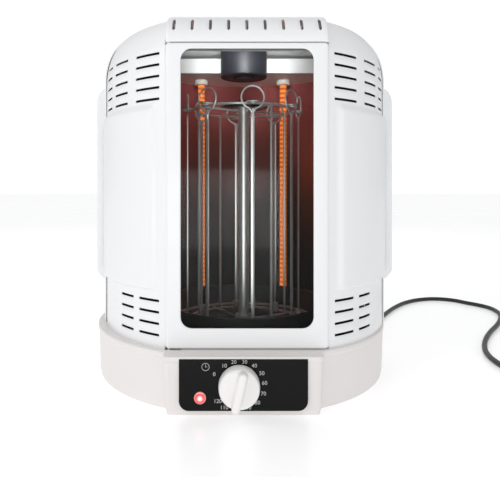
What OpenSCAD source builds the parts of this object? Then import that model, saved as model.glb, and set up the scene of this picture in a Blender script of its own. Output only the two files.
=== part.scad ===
// Countertop rotisserie oven: round steel casing on a plastic base, with a glass door,
// a timer, two upright heaters and a turntable that carries a drip pan and eight skewers.
// The front faces -Y. The origin is on the table under the turntable's axis.

/* [Casing] */
// Radius of the front shells
casing_r = 145; // [138:1:180]
// Height of the roof panel above the table
casing_top = 341.5; // [335:0.5:430]
// How far the roof's rounded shoulder reaches inwards
shoulder_w = 29; // [22:1:36]
// Height of the roof's rounded shoulder
shoulder_h = 45; // [30:1:60]
// Rise of the roof from its shoulder to its middle
crown_h = 3; // [1:0.5:6]
// Thickness of the steel sheet
sheet_t = 1; // [0.8:0.1:1.4]
// Where the front shells meet the rear shell, in degrees from the front
seam_angle = 76; // [72:1:82]
// How far the embossed side panels stand out
emboss_h = 3.5; // [2:0.5:5]
// How far the side grips stand out
grip_h = 8; // [6:0.5:12]

/* [Vents] */
// Height of each side slot
slot_h = 2.5; // [1.6:0.1:3.5]
// Distance from one row of side slots to the next
slot_pitch = 9.8; // [8:0.1:12]
// Rows of slots near the roof
upper_rows = 5; // [3:1:5]
// Rows of slots near the base
lower_rows = 4; // [2:1:4]
// Number of slots in the roof panel
roof_slots = 9; // [3:2:9]
// Distance from one roof slot to the next
roof_pitch = 15.6; // [12:0.1:16.5]

/* [Base] */
// Radius of the base's rim
base_r = 150; // [142:1:190]
// Height of the base's top face
base_top = 48.5; // [46:0.5:70]
// Sideways seat offset of the base under the casing
base_shift = -3.5; // [-5:0.5:5]
// Wall of the plastic base
base_wall = 2.5; // [2:0.1:4]
// Height of the recessed plinth that the base stands on
plinth_h = 3; // [2:0.5:6]

/* [Controls] */
// Half width of the control box
box_half_w = 65.2; // [60:0.2:75]
// Distance from the turntable axis to the face of the control box
box_face = 147; // [144:1:190]
// Width of the fascia
fascia_w = 104.8; // [95:0.2:120]
// Height of the fascia
fascia_h = 42; // [38:0.5:43]
// Diameter of the timer knob
knob_d = 33.5; // [28:0.5:36]
// Radius of the timer shaft
timer_shaft_r = 3; // [2.5:0.1:4]

/* [Door] */
// Half width of the door
door_half_w = 69.5; // [66:0.5:72]
// Height of the door
door_h = 260; // [250:1:262]
// Half width of the window
window_half_w = 56.2; // [50:0.2:58]
// Height of the window
window_h = 236.6; // [200:1:238]
// Radius of the window's corners
window_r = 9.5; // [4:0.5:14]
// Depth of the door's folded edges
door_depth = 11.5; // [9:0.5:13]
// Radius of the hinge pins
pin_r = 1.5; // [1:0.1:2]

/* [Turntable] */
// Radius of the drip pan's rim
pan_r = 87; // [70:1:88]
// Depth of the drip pan
pan_h = 26; // [18:1:30]
// Radius of the drive shaft
shaft_r = 3.5; // [3:0.1:5]
// Radius of the circle that the skewers stand on
skewer_ring_r = 61; // [50:1:68]
// Thickness of a skewer's blade
blade_t = 1.3; // [1:0.1:1.6]
// Width of a skewer's blade
blade_w = 4; // [3:0.1:5]
// Height of the skewers' ring handles
handle_z = 274; // [262:1:280]
// Radius of the skewers' ring handles
handle_r = 11.3; // [9:0.1:13]

/* [Hidden] */
$fn = 64;
SKEWERS = 8;
skewer_nodes = [for (i = [1:SKEWERS]) str("skewer_", i)];

// Small sizes and clearances
gap = 0.6;              // around the door
pin_gap = 0.05;         // radial running clearance of pins and shafts
cut = 0.1;              // how far a cutter runs past a face
front = -90;            // direction of the front, in degrees
fillet = 3;             // rounded edge of the door
roof_in = casing_top - sheet_t;
shell_top = roof_in - 0.5;
shell_bottom = base_top;
rear_r = casing_r + 2;
side_gap = door_half_w + gap;
seam_y = -casing_r * cos(seam_angle);
lap = 5;                // how far the front shells run on under the rear shell

// Door and surround
door_bottom = base_top + 0.5;
door_top = door_bottom + door_h;
door_y = -(sqrt(casing_r * casing_r - door_half_w * door_half_w) + 3.2);
door_back = door_y + door_depth;
window_bottom = door_bottom + 17.7;
window_mid = window_bottom + window_h / 2;
hinge_x = -(door_half_w - fillet);
hinge_y = door_y + fillet;
glass_t = 4;
glass_side = 5.3;
surround_y = door_back + 1;
bracket_t = 1.5;
skirt_h = 17;
cup_bore_r = 1.8;
bracket_low = base_top - bracket_t;
bracket_high = door_top + 0.5;
magnet_z = window_mid;
magnet_x = 63;

// Roof panel
roof_front = door_top + 0.6;
roof_rise = casing_top - roof_front - 1.4;
roof_run = 45.5;
roof_slot_low = roof_front + 10;
roof_slot_high = casing_top - 9.5;
roof_slot_w = 2.6;
roof_back = seam_y - 1.5;

// Side slots and embossed panel
slot_top_row = casing_top - 40.3;
slot_bottom_row = base_top + 10.6;
slot_columns = [[31.2, 42.8], [47.8, 58.3], [61.8, 71]];
low_columns = [[31.3, 40.9], [44, 52.3]];
rear_columns = [[125, 137], [141, 153], [157, 169]];
emboss_low = slot_bottom_row + 3 * slot_pitch + 8.8;
emboss_high = slot_top_row - 4 * slot_pitch - 9;
emboss_start = 33.5;
emboss_end = seam_angle - 0.7;
emboss_slope = 7;
grip_low = emboss_low - 5.5;
grip_high = casing_top - 54.5;
grip_end = 116;

// Base
base_bottom = plinth_h;
rim_h = 4.5;
wall_r_top = base_r - 0.8;
wall_r_bottom = base_r - 2;
well_r = pan_r + 6;
well_hole_r = well_r + sheet_t + 2;
plate_t = 1.5;
plate_z = base_bottom + 0.5;
foot_r = 8;
foot_circle = base_r - 14.5;
plinth_in = 1.5;
foot_angles = [38, 142, 218, 322];
screw_r = 1.75;
screw_circle = base_r - 12;
screw_angles = [62, 118, 242, 298];
boss_r = 5;
fascia_t = 1.5;
fascia_z = base_bottom + 1.5;
knob_x = base_shift - 3.5;
knob_z = fascia_z + fascia_h / 2 + 0.4;
knob_y = -(box_face + 1.5);
knob_depth = 12;
grip_bar_w = 7;
grip_bar_h = 9;
knob_turn = 13;
lamp_x = base_shift - 35.2;
lamp_z = fascia_z + 10.9;
lamp_r = 4.9;

// Chamber
floor_z = base_top;
floor_top = floor_z + sheet_t;
well_floor = 33;
well_top = well_floor + sheet_t;
liner_r = 127;
ceiling_z = 319;
baffle_y = 40;
heater_x = 51;
heater_y = 84;
heater_r = 4.25;
cap_r = 8.5;
cap_low_h = 7;
cap_high_h = 6;
hub_r = 25;
hub_z = 305;
hub_top = roof_in - crown_h / 4 * hub_r / ((casing_r - shoulder_w) / 2) - 0.1;
opening_half = 35;      // half angle of the liner's front opening

// Turntable
coupler_z = well_top + 1;
coupler_h = 4;
pan_z = coupler_z + coupler_h;
pan_floor = pan_z + sheet_t;
pan_floor_r = pan_r - 5;
wire_r = 1.5;
rack_z = pan_floor + wire_r + 0.6;
lower_ring_r = pan_floor_r - 2.5;
upper_ring_r = skewer_ring_r - 7;
upper_ring_z = handle_z - 4.5;
cup_r = 4;
cup_h = 10;
tube_r = 6;
cap_disc_r = 26;
cap_disc_h = 15;
skewer_turn = 7;
post_turn = skewer_turn + 22.5;
motor_z = 11;
motor_h = 19;
motor_r = 24.5;
shaft_low = motor_z + 6;

// Cord: route of the free lead on the table, in round numbers
cord_r = 3;
cord_sides = 10;
gland_angle = 35;
gland_z = 16;
gland_len = 30;
gland_root = base_r - 1.2;
route_out = [[140, 100, 16], [151, 108, 15.6], [161, 116, 13.5], [170, 126, 10], [179, 138, 6],
    [188, 152, 3.6], [199, 171, 3], [218, 203, 3], [240, 236, 3], [266, 266, 3], [295, 286, 3],
    [323, 291, 3], [346, 280, 3], [358, 262, 3], [369, 247, 3], [377, 230, 3], [378, 208, 3],
    [372, 183, 3], [358, 155, 3], [340, 127, 3], [316, 95, 3], [294, 62, 3], [277, 30, 3],
    [267, 2, 3], [264, -20, 3], [265, -42, 3], [270, -64, 3], [277, -86, 3], [282, -108, 3]];
route_plug = [[354, -108, 9], [354, -98, 8.6], [353, -88, 7], [352, -78, 5.6], [351, -68, 5],
    [350, -58, 5], [350, -48, 5]];
coil_x = 318;
coil_y = -108;
coil_r = 36;
plug_x = 350;
plug_y = -48;
plug_len = 34;
plug_w = 20;
plug_h = 16;

// ---------- Shared shapes ----------

// Half profile of a domed sheet shell: outer radius r, from z0 up to a crown at z1
function dome_edge(r, z0, z1) = concat([[r, z0]],
    [for (a = [0:9:90]) [r - shoulder_w + shoulder_w * cos(a),
        z1 - crown_h - shoulder_h + shoulder_h * sin(a)]],
    [[(r - shoulder_w) / 2, z1 - crown_h / 4], [0, z1]]);

// The same edge with an embossed band between two heights
function embossed_edge(r, z0, z1) = concat([[r, z0], [r, emboss_low],
        [r + emboss_h, emboss_low + emboss_slope], [r + emboss_h, emboss_high - emboss_slope],
        [r, emboss_high]],
    [for (a = [0:9:90]) [r - shoulder_w + shoulder_w * cos(a),
        z1 - crown_h - shoulder_h + shoulder_h * sin(a)]],
    [[(r - shoulder_w) / 2, z1 - crown_h / 4], [0, z1]]);

// Turns an outer edge into a sheet of the shell's thickness
module sheet_profile(outer, inner) {
    difference() {
        polygon(concat(outer, [[0, outer[0][1]]]));
        translate([0, -cut])
            polygon(concat([[inner[0][0], inner[0][1] - cut]], [for (p = inner) p],
                [[0, inner[0][1] - cut]]));
    }
}

// A revolved sector, from one angle to another, counted from the front towards +X
module sector(from, to) {
    rotate([0, 0, front + from])
        rotate_extrude(angle = to - from, $fn = 96)
            children();
}

// One ring of slots: cuts through a shell between two angles at one height
module slot_cut(from, to, z, r) {
    sector(from, to)
        translate([r - 6, z - slot_h / 2])
            square([14, slot_h]);
}

module slot_rows(columns, first_z, rows, step, r) {
    for (c = columns)
        for (i = [0:rows - 1])
            slot_cut(c[0], c[1], first_z + i * step, r);
}

module mirror_x(flip) {
    mirror([flip ? 1 : 0, 0, 0])
        children();
}

module ring(r, wire) {
    rotate_extrude($fn = 96)
        translate([r, 0])
            circle(r = wire, $fn = 24);
}

module at_base() {
    translate([base_shift, 0, 0])
        children();
}

module polar(r, angle, z = 0) {
    rotate([0, 0, front + angle])
        translate([r, 0, z])
            children();
}

// ---------- Base ----------

// Outline of the drum and its control box, grown inwards by inset
module base_outline(r, inset) {
    intersection() {
        union() {
            circle(r = r - inset, $fn = 128);
            translate([-box_half_w + inset, -box_face + inset])
                square([2 * box_half_w - 2 * inset, box_face - inset]);
        }
        translate([-2 * r, -box_face + inset])
            square([4 * r, 4 * r]);
    }
}

module base_housing() {
    color("ivory") difference() {
        union() {
            at_base() {
                translate([0, 0, base_bottom])
                    cylinder(h = base_top - rim_h - base_bottom, r1 = wall_r_bottom,
                        r2 = wall_r_top, $fn = 128);
                translate([0, 0, base_top - rim_h])
                    cylinder(h = rim_h, r = base_r, $fn = 128);
                translate([-box_half_w, -box_face, base_bottom])
                    cube([2 * box_half_w, box_face, base_top - base_bottom]);
            }
        }
        translate([base_shift - box_half_w, -box_face - 20, 0])
            cube([2 * box_half_w, 20, base_top + 1]);
        at_base()
            translate([0, 0, base_bottom - cut])
                linear_extrude(base_top - base_wall - base_bottom + cut)
                    base_outline(wall_r_bottom, base_wall);
        translate([0, 0, base_top - base_wall - cut])
            cylinder(h = base_wall + 2 * cut, r = well_hole_r, $fn = 128);
        translate([hinge_x - 5.5, door_y - 0.5, bracket_low - 0.1])
            cube([16.5, 20.5, bracket_t + cut + 0.1]);
        translate([hinge_x, hinge_y, base_top - base_wall - cut])
            cylinder(h = base_wall + cut, r = pin_r + 1, $fn = 32);
        translate([knob_x, -box_face - cut, knob_z])
            rotate([-90, 0, 0])
                cylinder(h = base_wall + 2 * cut, r = timer_shaft_r + 2);
        translate([lamp_x, -box_face - cut, lamp_z])
            rotate([-90, 0, 0])
                cylinder(h = base_wall + 2 * cut, r = lamp_r - 1);
        at_base()
            rotate([0, 0, gland_angle])
                translate([base_r - 8, 0, gland_z])
                    rotate([0, 90, 0])
                        cylinder(h = 12, r = 5);
    }
    color("ivory")
        at_base()
            linear_extrude(base_bottom + 0.4)
                difference() {
                    base_outline(wall_r_bottom, plinth_in);
                    base_outline(wall_r_bottom, plinth_in + base_wall);
                }
    color("ivory")
        at_base()
            for (a = screw_angles)
                polar(screw_circle, a, plate_z + plate_t)
                    difference() {
                        cylinder(h = base_top - base_wall - plate_z - plate_t, r = boss_r);
                        translate([0, 0, -cut])
                            cylinder(h = 12, r = screw_r + 0.05);
                    }
}

module bottom_plate() {
    color("gainsboro") difference() {
        at_base()
            translate([0, 0, plate_z])
                linear_extrude(plate_t)
                    base_outline(wall_r_bottom, base_wall + 0.4);
        at_base()
            for (a = screw_angles)
                polar(screw_circle, a, plate_z - cut)
                    cylinder(h = plate_t + 2 * cut, r = screw_r + 0.3, $fn = 32);
    }
}

module feet() {
    color("dimgray")
        at_base()
            for (a = foot_angles)
                polar(foot_circle, a)
                    cylinder(h = plate_z, r1 = foot_r - 1, r2 = foot_r);
}

module base_screws() {
    color("silver")
        at_base()
            for (a = screw_angles)
                polar(screw_circle, a) {
                    translate([0, 0, plate_z - 1.6])
                        cylinder(h = 1.6, r = 3.4, $fn = 32);
                    translate([0, 0, plate_z])
                        cylinder(h = 10, r = screw_r, $fn = 32);
                }
}

module control_fascia() {
    corner = 8;
    color("#101012")
        difference() {
            translate([base_shift, -box_face, fascia_z])
                rotate([90, 0, 0])
                    linear_extrude(fascia_t)
                        union() {
                            translate([-fascia_w / 2, corner])
                                square([fascia_w, fascia_h - corner]);
                            translate([-fascia_w / 2 + corner, 0])
                                square([fascia_w - 2 * corner, corner + cut]);
                            for (s = [-1, 1])
                                translate([s * (fascia_w / 2 - corner), corner])
                                    circle(r = corner);
                        }
            translate([knob_x, -box_face + cut, knob_z])
                rotate([90, 0, 0])
                    cylinder(h = fascia_t + 2 * cut, r = timer_shaft_r + 1);
            translate([lamp_x, -box_face + cut, lamp_z])
                rotate([90, 0, 0])
                    cylinder(h = fascia_t + 2 * cut, r = lamp_r - 1);
        }
}

module timer_unit() {
    depth = 30;
    color("lightgray") difference() {
        translate([knob_x - 19, -box_face + base_wall, knob_z - 18])
            cube([38, depth, 36]);
        translate([knob_x, -box_face + base_wall - cut, knob_z])
            rotate([-90, 0, 0])
                cylinder(h = 22, r = timer_shaft_r + pin_gap);
    }
}

module timer_shaft() {
    color("silver")
        translate([knob_x, knob_y - 8, knob_z])
            rotate([-90, 0, 0])
                cylinder(h = 8 + (box_face + knob_y) + 20, r = timer_shaft_r);
}

module timer_knob() {
    color("white") difference() {
        translate([knob_x, knob_y - 0.5, knob_z])
            rotate([90, knob_turn, 0]) {
                cylinder(h = knob_depth, r1 = knob_d / 2, r2 = knob_d / 2 - 0.8);
                translate([-grip_bar_w / 2, -knob_d / 2 + 0.5, knob_depth - cut])
                    cube([grip_bar_w, knob_d - 1, grip_bar_h]);
            }
        translate([knob_x, knob_y, knob_z])
            rotate([90, 0, 0])
                translate([0, 0, 0])
                    cylinder(h = 8, r = timer_shaft_r);
    }
}

module neon_lamp() {
    color("orange")
        translate([lamp_x, -box_face - 0.4, lamp_z])
            rotate([-90, 0, 0])
                cylinder(h = 16, r = 2.6);
}

module indicator_lens() {
    color("red") difference() {
        translate([lamp_x, -box_face - fascia_t, lamp_z])
            rotate([90, 0, 0])
                union() {
                    cylinder(h = 1.6, r1 = lamp_r, r2 = lamp_r - 0.5);
                    translate([0, 0, -fascia_t - 1])
                        cylinder(h = fascia_t + 1 + cut, r = lamp_r - 1.05);
                }
        translate([lamp_x, -box_face - fascia_t, lamp_z])
            rotate([-90, 0, 0])
                cylinder(h = fascia_t + 5, r = 2.7);
    }
}

module drive_motor() {
    ear = 29;
    color("silver") difference() {
        union() {
            translate([0, 0, motor_z])
                cylinder(h = motor_h, r = motor_r);
            for (s = [-1, 1])
                translate([s * ear, 0, motor_z + motor_h - 1])
                    cylinder(h = 1, r = 5);
            translate([-ear, -5, motor_z + motor_h - 1])
                cube([2 * ear, 10, 1]);
            for (s = [-1, 1])
                translate([s * ear, 0, motor_z + motor_h])
                    cylinder(h = well_floor - motor_z - motor_h, r = 3.5);
        }
        translate([0, 0, shaft_low])
            cylinder(h = motor_h, r = shaft_r + pin_gap);
    }
}

module shaft_bush() {
    color("goldenrod") difference() {
        union() {
            translate([0, 0, well_floor - 1])
                cylinder(h = 1, r = 10);
            translate([0, 0, well_floor])
                cylinder(h = sheet_t + 0.5, r = 7);
        }
        translate([0, 0, well_floor - 1 - cut])
            cylinder(h = 4, r = shaft_r + pin_gap);
    }
}

module terminal_block() {
    color("beige")
        rotate([0, 0, gland_angle])
            translate([108, 14, plate_z + plate_t]) {
                cube([14, 30, 4]);
                for (i = [0:2])
                    translate([1, 1.5 + i * 9.5, 4])
                        cube([12, 8, 11]);
            }
}

// ---------- Chamber ----------

module chamber_floor() {
    color("dimgray") difference() {
        rotate_extrude($fn = 128)
            polygon([[0, well_floor], [well_r + sheet_t, well_floor], [well_r + sheet_t, floor_z],
                [liner_r + 5, floor_z], [liner_r + 5, floor_top], [well_r, floor_top],
                [well_r, well_top], [0, well_top]]);
        translate([0, 0, well_floor - cut])
            cylinder(h = sheet_t + 2 * cut, r = 7);
        translate([-liner_r, door_y - 20, floor_z - cut])
            cube([2 * liner_r, 20 + door_depth + 2.2, 2 * sheet_t]);
    }
}

module inner_liner() {
    color("silver")
        sector(opening_half, 360 - opening_half)
            translate([liner_r - sheet_t, floor_top])
                square([sheet_t, ceiling_z - floor_top]);
}

module ceiling_plate() {
    color("gray") difference() {
        union() {
            intersection() {
                translate([0, 0, ceiling_z])
                    cylinder(h = sheet_t, r = liner_r, $fn = 128);
                translate([-liner_r, baffle_y, ceiling_z - cut])
                    cube([2 * liner_r, liner_r, 2 * sheet_t]);
            }
            translate([-heater_x * 2.2, baffle_y, ceiling_z])
                cube([heater_x * 4.4, sheet_t, skirt_h]);
        }
    }
}

module ceiling_hub() {
    color("slategray") difference() {
        union() {
            translate([0, 0, hub_z])
                cylinder(h = hub_top - hub_z, r = hub_r);
            translate([0, 0, hub_z - 2])
                cylinder(h = 2 + cut, r = 12);
        }
        translate([0, 0, hub_z + 2])
            cylinder(h = hub_top - hub_z - 4, r = hub_r - 2);
    }
}

module thermal_cutout() {
    color("tan") {
        translate([0, 0, hub_z + 2])
            cylinder(h = 3, r = 12);
        translate([0, 0, hub_z + 5])
            cylinder(h = 8, r = 8);
    }
}

module heater_tube(x) {
    color("orangered")
        translate([x, heater_y, floor_top + cap_low_h])
            cylinder(h = ceiling_z - cap_high_h - floor_top - cap_low_h, r = heater_r);
}

module heater_tube_left() {
    heater_tube(-heater_x);
}

module heater_tube_right() {
    heater_tube(heater_x);
}

module heater_caps() {
    color("whitesmoke")
        for (s = [-1, 1]) {
            translate([s * heater_x, heater_y, floor_top])
                cylinder(h = cap_low_h, r = cap_r);
            translate([s * heater_x, heater_y, ceiling_z - cap_high_h])
                cylinder(h = cap_high_h, r = cap_r);
        }
}

// ---------- Casing ----------

module shell_walls(flip) {
    r = casing_r;
    t = sheet_t;
    mirror_x(flip) difference() {
        union() {
            for (a = [[25, emboss_start], [emboss_end, 100]])
                sector(a[0], a[1])
                    sheet_profile(dome_edge(r, shell_bottom, shell_top),
                        dome_edge(r - t, shell_bottom, shell_top - t));
            sector(emboss_start, emboss_end)
                sheet_profile(embossed_edge(r, shell_bottom, shell_top),
                    embossed_edge(r - t, shell_bottom, shell_top - t));
        }
        translate([-side_gap, -2 * r, 0])
            cube([2 * side_gap, 4 * r, casing_top + 10]);
        translate([-2 * r, seam_y + lap, 0])
            cube([4 * r, 2 * r, casing_top + 10]);
        slot_rows(slot_columns, slot_top_row, upper_rows, -slot_pitch, r);
        slot_rows(low_columns, slot_bottom_row, lower_rows, slot_pitch, r);
    }
}

module front_shell_left() {
    color("white")
        shell_walls(true);
}

module front_shell_right() {
    color("white")
        shell_walls(false);
}

// Outer edge of the roof panel's side view: [y, z], set in by inset
function roof_edge(inset) = concat([[door_y + inset, roof_front]],
    [for (a = [0:7.5:90]) [door_y + roof_run - (roof_run - inset) * cos(a),
        roof_front + 1.4 + (roof_rise - inset) * sin(a)]],
    [[roof_back, casing_top - inset]]);

module roof_slot() {
    half = roof_slot_w / 2;
    translate([0, door_y - 5, 0])
        rotate([-90, 0, 0])
            linear_extrude(45)
                union() {
                    translate([-half, -roof_slot_high + half])
                        square([2 * half, roof_slot_high - roof_slot_low - 2 * half]);
                    for (z = [roof_slot_low + half, roof_slot_high - half])
                        translate([0, -z])
                            circle(r = half, $fn = 24);
                }
}

module side_plane(x, width) {
    translate([x, 0, 0])
        rotate([90, 0, 90])
            linear_extrude(width)
                children();
}

module top_front_panel() {
    skirt = 9;
    t = sheet_t;
    color("white") {
        difference() {
            union() {
                side_plane(-door_half_w, 2 * door_half_w)
                    polygon(concat(roof_edge(0), [for (i = [14:-1:0]) roof_edge(t)[i]]));
                for (x = [-door_half_w, door_half_w - t])
                    side_plane(x, t)
                        polygon(concat(roof_edge(0), [for (i = [14:-1:0]) roof_edge(skirt)[i]]));
            }
            for (i = [0:roof_slots - 1])
                translate([(i - (roof_slots - 1) / 2) * roof_pitch, 0, 0])
                    roof_slot();
            translate([-door_half_w - cut, door_y + t, roof_front - cut])
                cube([t + 2 * cut, 20, bracket_t + 0.6]);
        }
    }
}

module rear_shell() {
    t = sheet_t;
    color("white") difference() {
        rotate_extrude($fn = 128)
            sheet_profile(dome_edge(rear_r, shell_bottom, casing_top),
                dome_edge(rear_r - t, shell_bottom, casing_top - t));
        translate([-2 * rear_r, seam_y - 2 * rear_r, 0])
            cube([4 * rear_r, 2 * rear_r, casing_top + 10]);
        slot_rows(rear_columns, slot_top_row, upper_rows, -slot_pitch, rear_r);
        slot_rows(rear_columns, slot_bottom_row, lower_rows, slot_pitch, rear_r);
        mirror([1, 0, 0]) {
            slot_rows(rear_columns, slot_top_row, upper_rows, -slot_pitch, rear_r);
            slot_rows(rear_columns, slot_bottom_row, lower_rows, slot_pitch, rear_r);
        }
    }
}

module side_grip(flip) {
    r = rear_r;
    end = 8;
    wall = 2.5;
    edge = [[r, grip_low], [r + grip_h, grip_low + end], [r + grip_h, grip_high - 12],
        [r + grip_h - 2.4, grip_high - 4], [r, grip_high]];
    color("white")
        mirror_x(flip) {
            sector(seam_angle, grip_end)
                polygon(concat(edge, [[r, grip_high - 4], [r + grip_h - wall, grip_high - 13],
                    [r + grip_h - wall, grip_low + end + 2], [r, grip_low + 3]]));
            for (a = [seam_angle, grip_end - 1])
                sector(a, a + 1)
                    polygon(edge);
        }
}

module side_grip_left() {
    side_grip(true);
}

module side_grip_right() {
    side_grip(false);
}

module casing_screws() {
    color("silver")
        for (a = [122, 155, 205, 238])
            for (z = [base_top + 6, casing_top - 56])
                polar(rear_r, a, z)
                    rotate([0, 90, 0]) {
                        cylinder(h = 1.8, r = 3.5, $fn = 32);
                        translate([0, 0, -6])
                            cylinder(h = 6 + cut, r = 1.6, $fn = 32);
                    }
}

module door_surround() {
    inner = window_half_w + 6;
    high = door_top + 0.4;
    sill = base_top + 11.2;
    head = window_bottom + window_h + 1;
    color("lightgray") difference() {
        union() {
            for (s = [-1, 1])
                translate([s < 0 ? -side_gap - 1.1 : side_gap + 0.1, door_y + 9.2, floor_top])
                    cube([1, 21, high - floor_top]);
            translate([-side_gap - 1.1, surround_y, base_top])
                cube([2 * side_gap + 2.2, 1, high - base_top]);
        }
        translate([-inner, surround_y - cut, sill])
            cube([2 * inner, 1 + 2 * cut, head - sill]);
    }
}

module hinge_bracket(z) {
    color("silver") difference() {
        translate([hinge_x - 3.3, door_y + 1.2, z])
            cube([13.8, 18.1, bracket_t]);
        translate([hinge_x, hinge_y, z - cut])
            cylinder(h = bracket_t + 2 * cut, r = pin_r + pin_gap, $fn = 48);
    }
}

module hinge_bracket_top() {
    hinge_bracket(bracket_high);
}

module hinge_bracket_bottom() {
    hinge_bracket(bracket_low);
}

module catch_magnet() {
    color("#303030")
        translate([magnet_x - 0.4, surround_y - 0.6, magnet_z - 14])
            cube([7, 0.6, 28]);
}

// ---------- Door ----------

// Plan of the folded door sheet: front face and rounded edges, closed by a straight back
module door_plan(inset) {
    w = door_half_w - inset;
    r = fillet - inset;
    for (s = [-1, 1])
        translate([s * (door_half_w - fillet), hinge_y])
            circle(r = r, $fn = 32);
    translate([-door_half_w + fillet, door_y + inset])
        square([2 * (door_half_w - fillet), fillet]);
    translate([-w, hinge_y])
        square([2 * w, door_back - hinge_y + (inset > 0 ? cut : 0)]);
}

module rounded_window(half_w, h, r) {
    for (x = [-half_w + r, half_w - r])
        for (z = [-h / 2 + r, h / 2 - r])
            translate([x, z])
                circle(r = r, $fn = 48);
    square([2 * half_w, h - 2 * r], center = true);
    square([2 * half_w - 2 * r, h], center = true);
}

module door_frame() {
    color("white") difference() {
        translate([0, 0, door_bottom])
            linear_extrude(door_h)
                door_plan(0);
        translate([0, 0, door_bottom + sheet_t])
            linear_extrude(door_h - 2 * sheet_t)
                door_plan(sheet_t);
        translate([0, door_y - cut, window_mid])
            rotate([-90, 0, 0])
                linear_extrude(sheet_t + 2 * cut)
                    rounded_window(window_half_w, window_h, window_r);
        for (z = [door_bottom - cut, door_top - sheet_t - cut])
            translate([hinge_x, hinge_y, z])
                cylinder(h = sheet_t + 2 * cut, r = pin_r, $fn = 48);
        translate([-door_half_w + 8, door_y + sheet_t + glass_t + 2, door_bottom - cut])
            cube([2 * door_half_w - 16, door_depth, sheet_t + 2 * cut]);
        translate([-door_half_w + 8, door_y + sheet_t + glass_t + 2, door_top - sheet_t - cut])
            cube([2 * door_half_w - 16, door_depth, sheet_t + 2 * cut]);
    }
}

module door_glass() {
    color("lightblue", 0.4)
        translate([0, door_y + sheet_t, window_mid])
            rotate([-90, 0, 0])
                linear_extrude(glass_t)
                    rounded_window(window_half_w + glass_side, window_h + 8, 4);
}

module glass_clips() {
    clip_y = door_y + sheet_t + glass_t;
    edge = window_half_w + glass_side;
    color("silver")
        for (s = [-1, 1])
            for (z = [window_bottom + 20, window_mid + 30, window_bottom + window_h - 20]) {
                translate([s < 0 ? -edge - 3.2 : edge - 4, clip_y, z - 6])
                    cube([7.2, 1, 12]);
                translate([s < 0 ? -edge - 3.2 : edge + 2.2, door_y + sheet_t, z - 6])
                    cube([1, glass_t + cut, 12]);
            }
}

module hinge_pins() {
    color("silver") {
        translate([hinge_x, hinge_y, door_top - sheet_t - 2])
            cylinder(h = sheet_t + 2 + 0.5 + bracket_t + 0.5, r = pin_r, $fn = 48);
        translate([hinge_x, hinge_y, door_top - sheet_t - 3])
            cylinder(h = 1 + cut, r = pin_r + 0.4, $fn = 48);
        translate([hinge_x, hinge_y, bracket_low - 0.5])
            cylinder(h = door_bottom - bracket_low + sheet_t + 2.5, r = pin_r, $fn = 48);
        translate([hinge_x, hinge_y, door_bottom + sheet_t + 2])
            cylinder(h = 1, r = pin_r + 0.4, $fn = 48);
    }
}

module strike_plate() {
    back = surround_y - 1;
    color("silver") {
        translate([magnet_x - 2, back - 1, magnet_z - 12])
            cube([door_half_w - magnet_x + 1, 1, 24]);
        translate([door_half_w - sheet_t - 1, door_y + 4, magnet_z - 12])
            cube([1, back - door_y - 4, 24]);
    }
}

// ---------- Turntable ----------

module drive_shaft() {
    color("silver")
        translate([0, 0, shaft_low + 0.5])
            cylinder(h = pan_z - shaft_low - 0.5, r = shaft_r);
}

module drive_coupler() {
    color("#404040") difference() {
        union() {
            translate([0, 0, coupler_z])
                cylinder(h = coupler_h, r = 8);
            for (a = [0, 120, 240])
                rotate([0, 0, a])
                    translate([0, -4, coupler_z])
                        cube([18, 8, coupler_h]);
        }
        translate([0, 0, coupler_z - cut])
            cylinder(h = coupler_h + 2 * cut, r = shaft_r);
    }
}

module drip_pan() {
    top = pan_z + pan_h;
    color("#202022") {
        rotate_extrude($fn = 128)
            polygon([[0, pan_z], [pan_floor_r, pan_z], [pan_r - 1, top - 1.5], [pan_r + 1.5, top - 1.5],
                [pan_r + 1.5, top], [pan_r - 2, top], [pan_floor_r - 1, pan_floor], [0, pan_floor]]);
    }
}

module rack_lower() {
    color("silver") difference() {
        union() {
            translate([0, 0, rack_z]) {
                ring(lower_ring_r, wire_r);
                ring(skewer_ring_r, wire_r);
                for (a = [0, 90])
                    rotate([0, 0, front + post_turn + a])
                        translate([-lower_ring_r, 0, 0])
                            rotate([0, 90, 0])
                                cylinder(h = 2 * lower_ring_r, r = wire_r - 0.4, $fn = 24);
            }
            translate([0, 0, pan_floor])
                cylinder(h = 8, r = tube_r + 3);
            for (i = [0:SKEWERS - 1])
                polar(skewer_ring_r, skewer_turn + i * 360 / SKEWERS, pan_floor)
                    cylinder(h = cup_h, r = cup_r, $fn = 32);
        }
        translate([0, 0, pan_floor - cut])
            cylinder(h = 10, r = tube_r);
        for (i = [0:SKEWERS - 1])
            polar(skewer_ring_r, skewer_turn + i * 360 / SKEWERS, pan_floor + 3)
                cylinder(h = cup_h, r = cup_bore_r, $fn = 32);
    }
}

module rack_upper() {
    color("silver") difference() {
        translate([0, 0, upper_ring_z]) {
            ring(upper_ring_r, wire_r - 0.2);
            for (a = [0, 90])
                rotate([0, 0, front + post_turn + a])
                    translate([-upper_ring_r, 0, 0])
                        rotate([0, 90, 0])
                            cylinder(h = 2 * upper_ring_r, r = wire_r - 0.4, $fn = 24);
            for (i = [0:SKEWERS - 1])
                polar(skewer_ring_r, skewer_turn + i * 360 / SKEWERS)
                    ring(skewer_ring_r - upper_ring_r - 1, 0.9);
            translate([0, 0, -3])
                cylinder(h = 6, r = tube_r + 2.5);
        }
        translate([0, 0, upper_ring_z - 10])
            cylinder(h = 20, r = tube_r);
    }
}

module rack_posts() {
    color("silver")
        for (i = [0:3])
            polar(upper_ring_r, post_turn + i * 90, rack_z + wire_r)
                cylinder(h = upper_ring_z - rack_z - 2 * wire_r + 0.2, r = wire_r - 0.2, $fn = 24);
}

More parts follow.
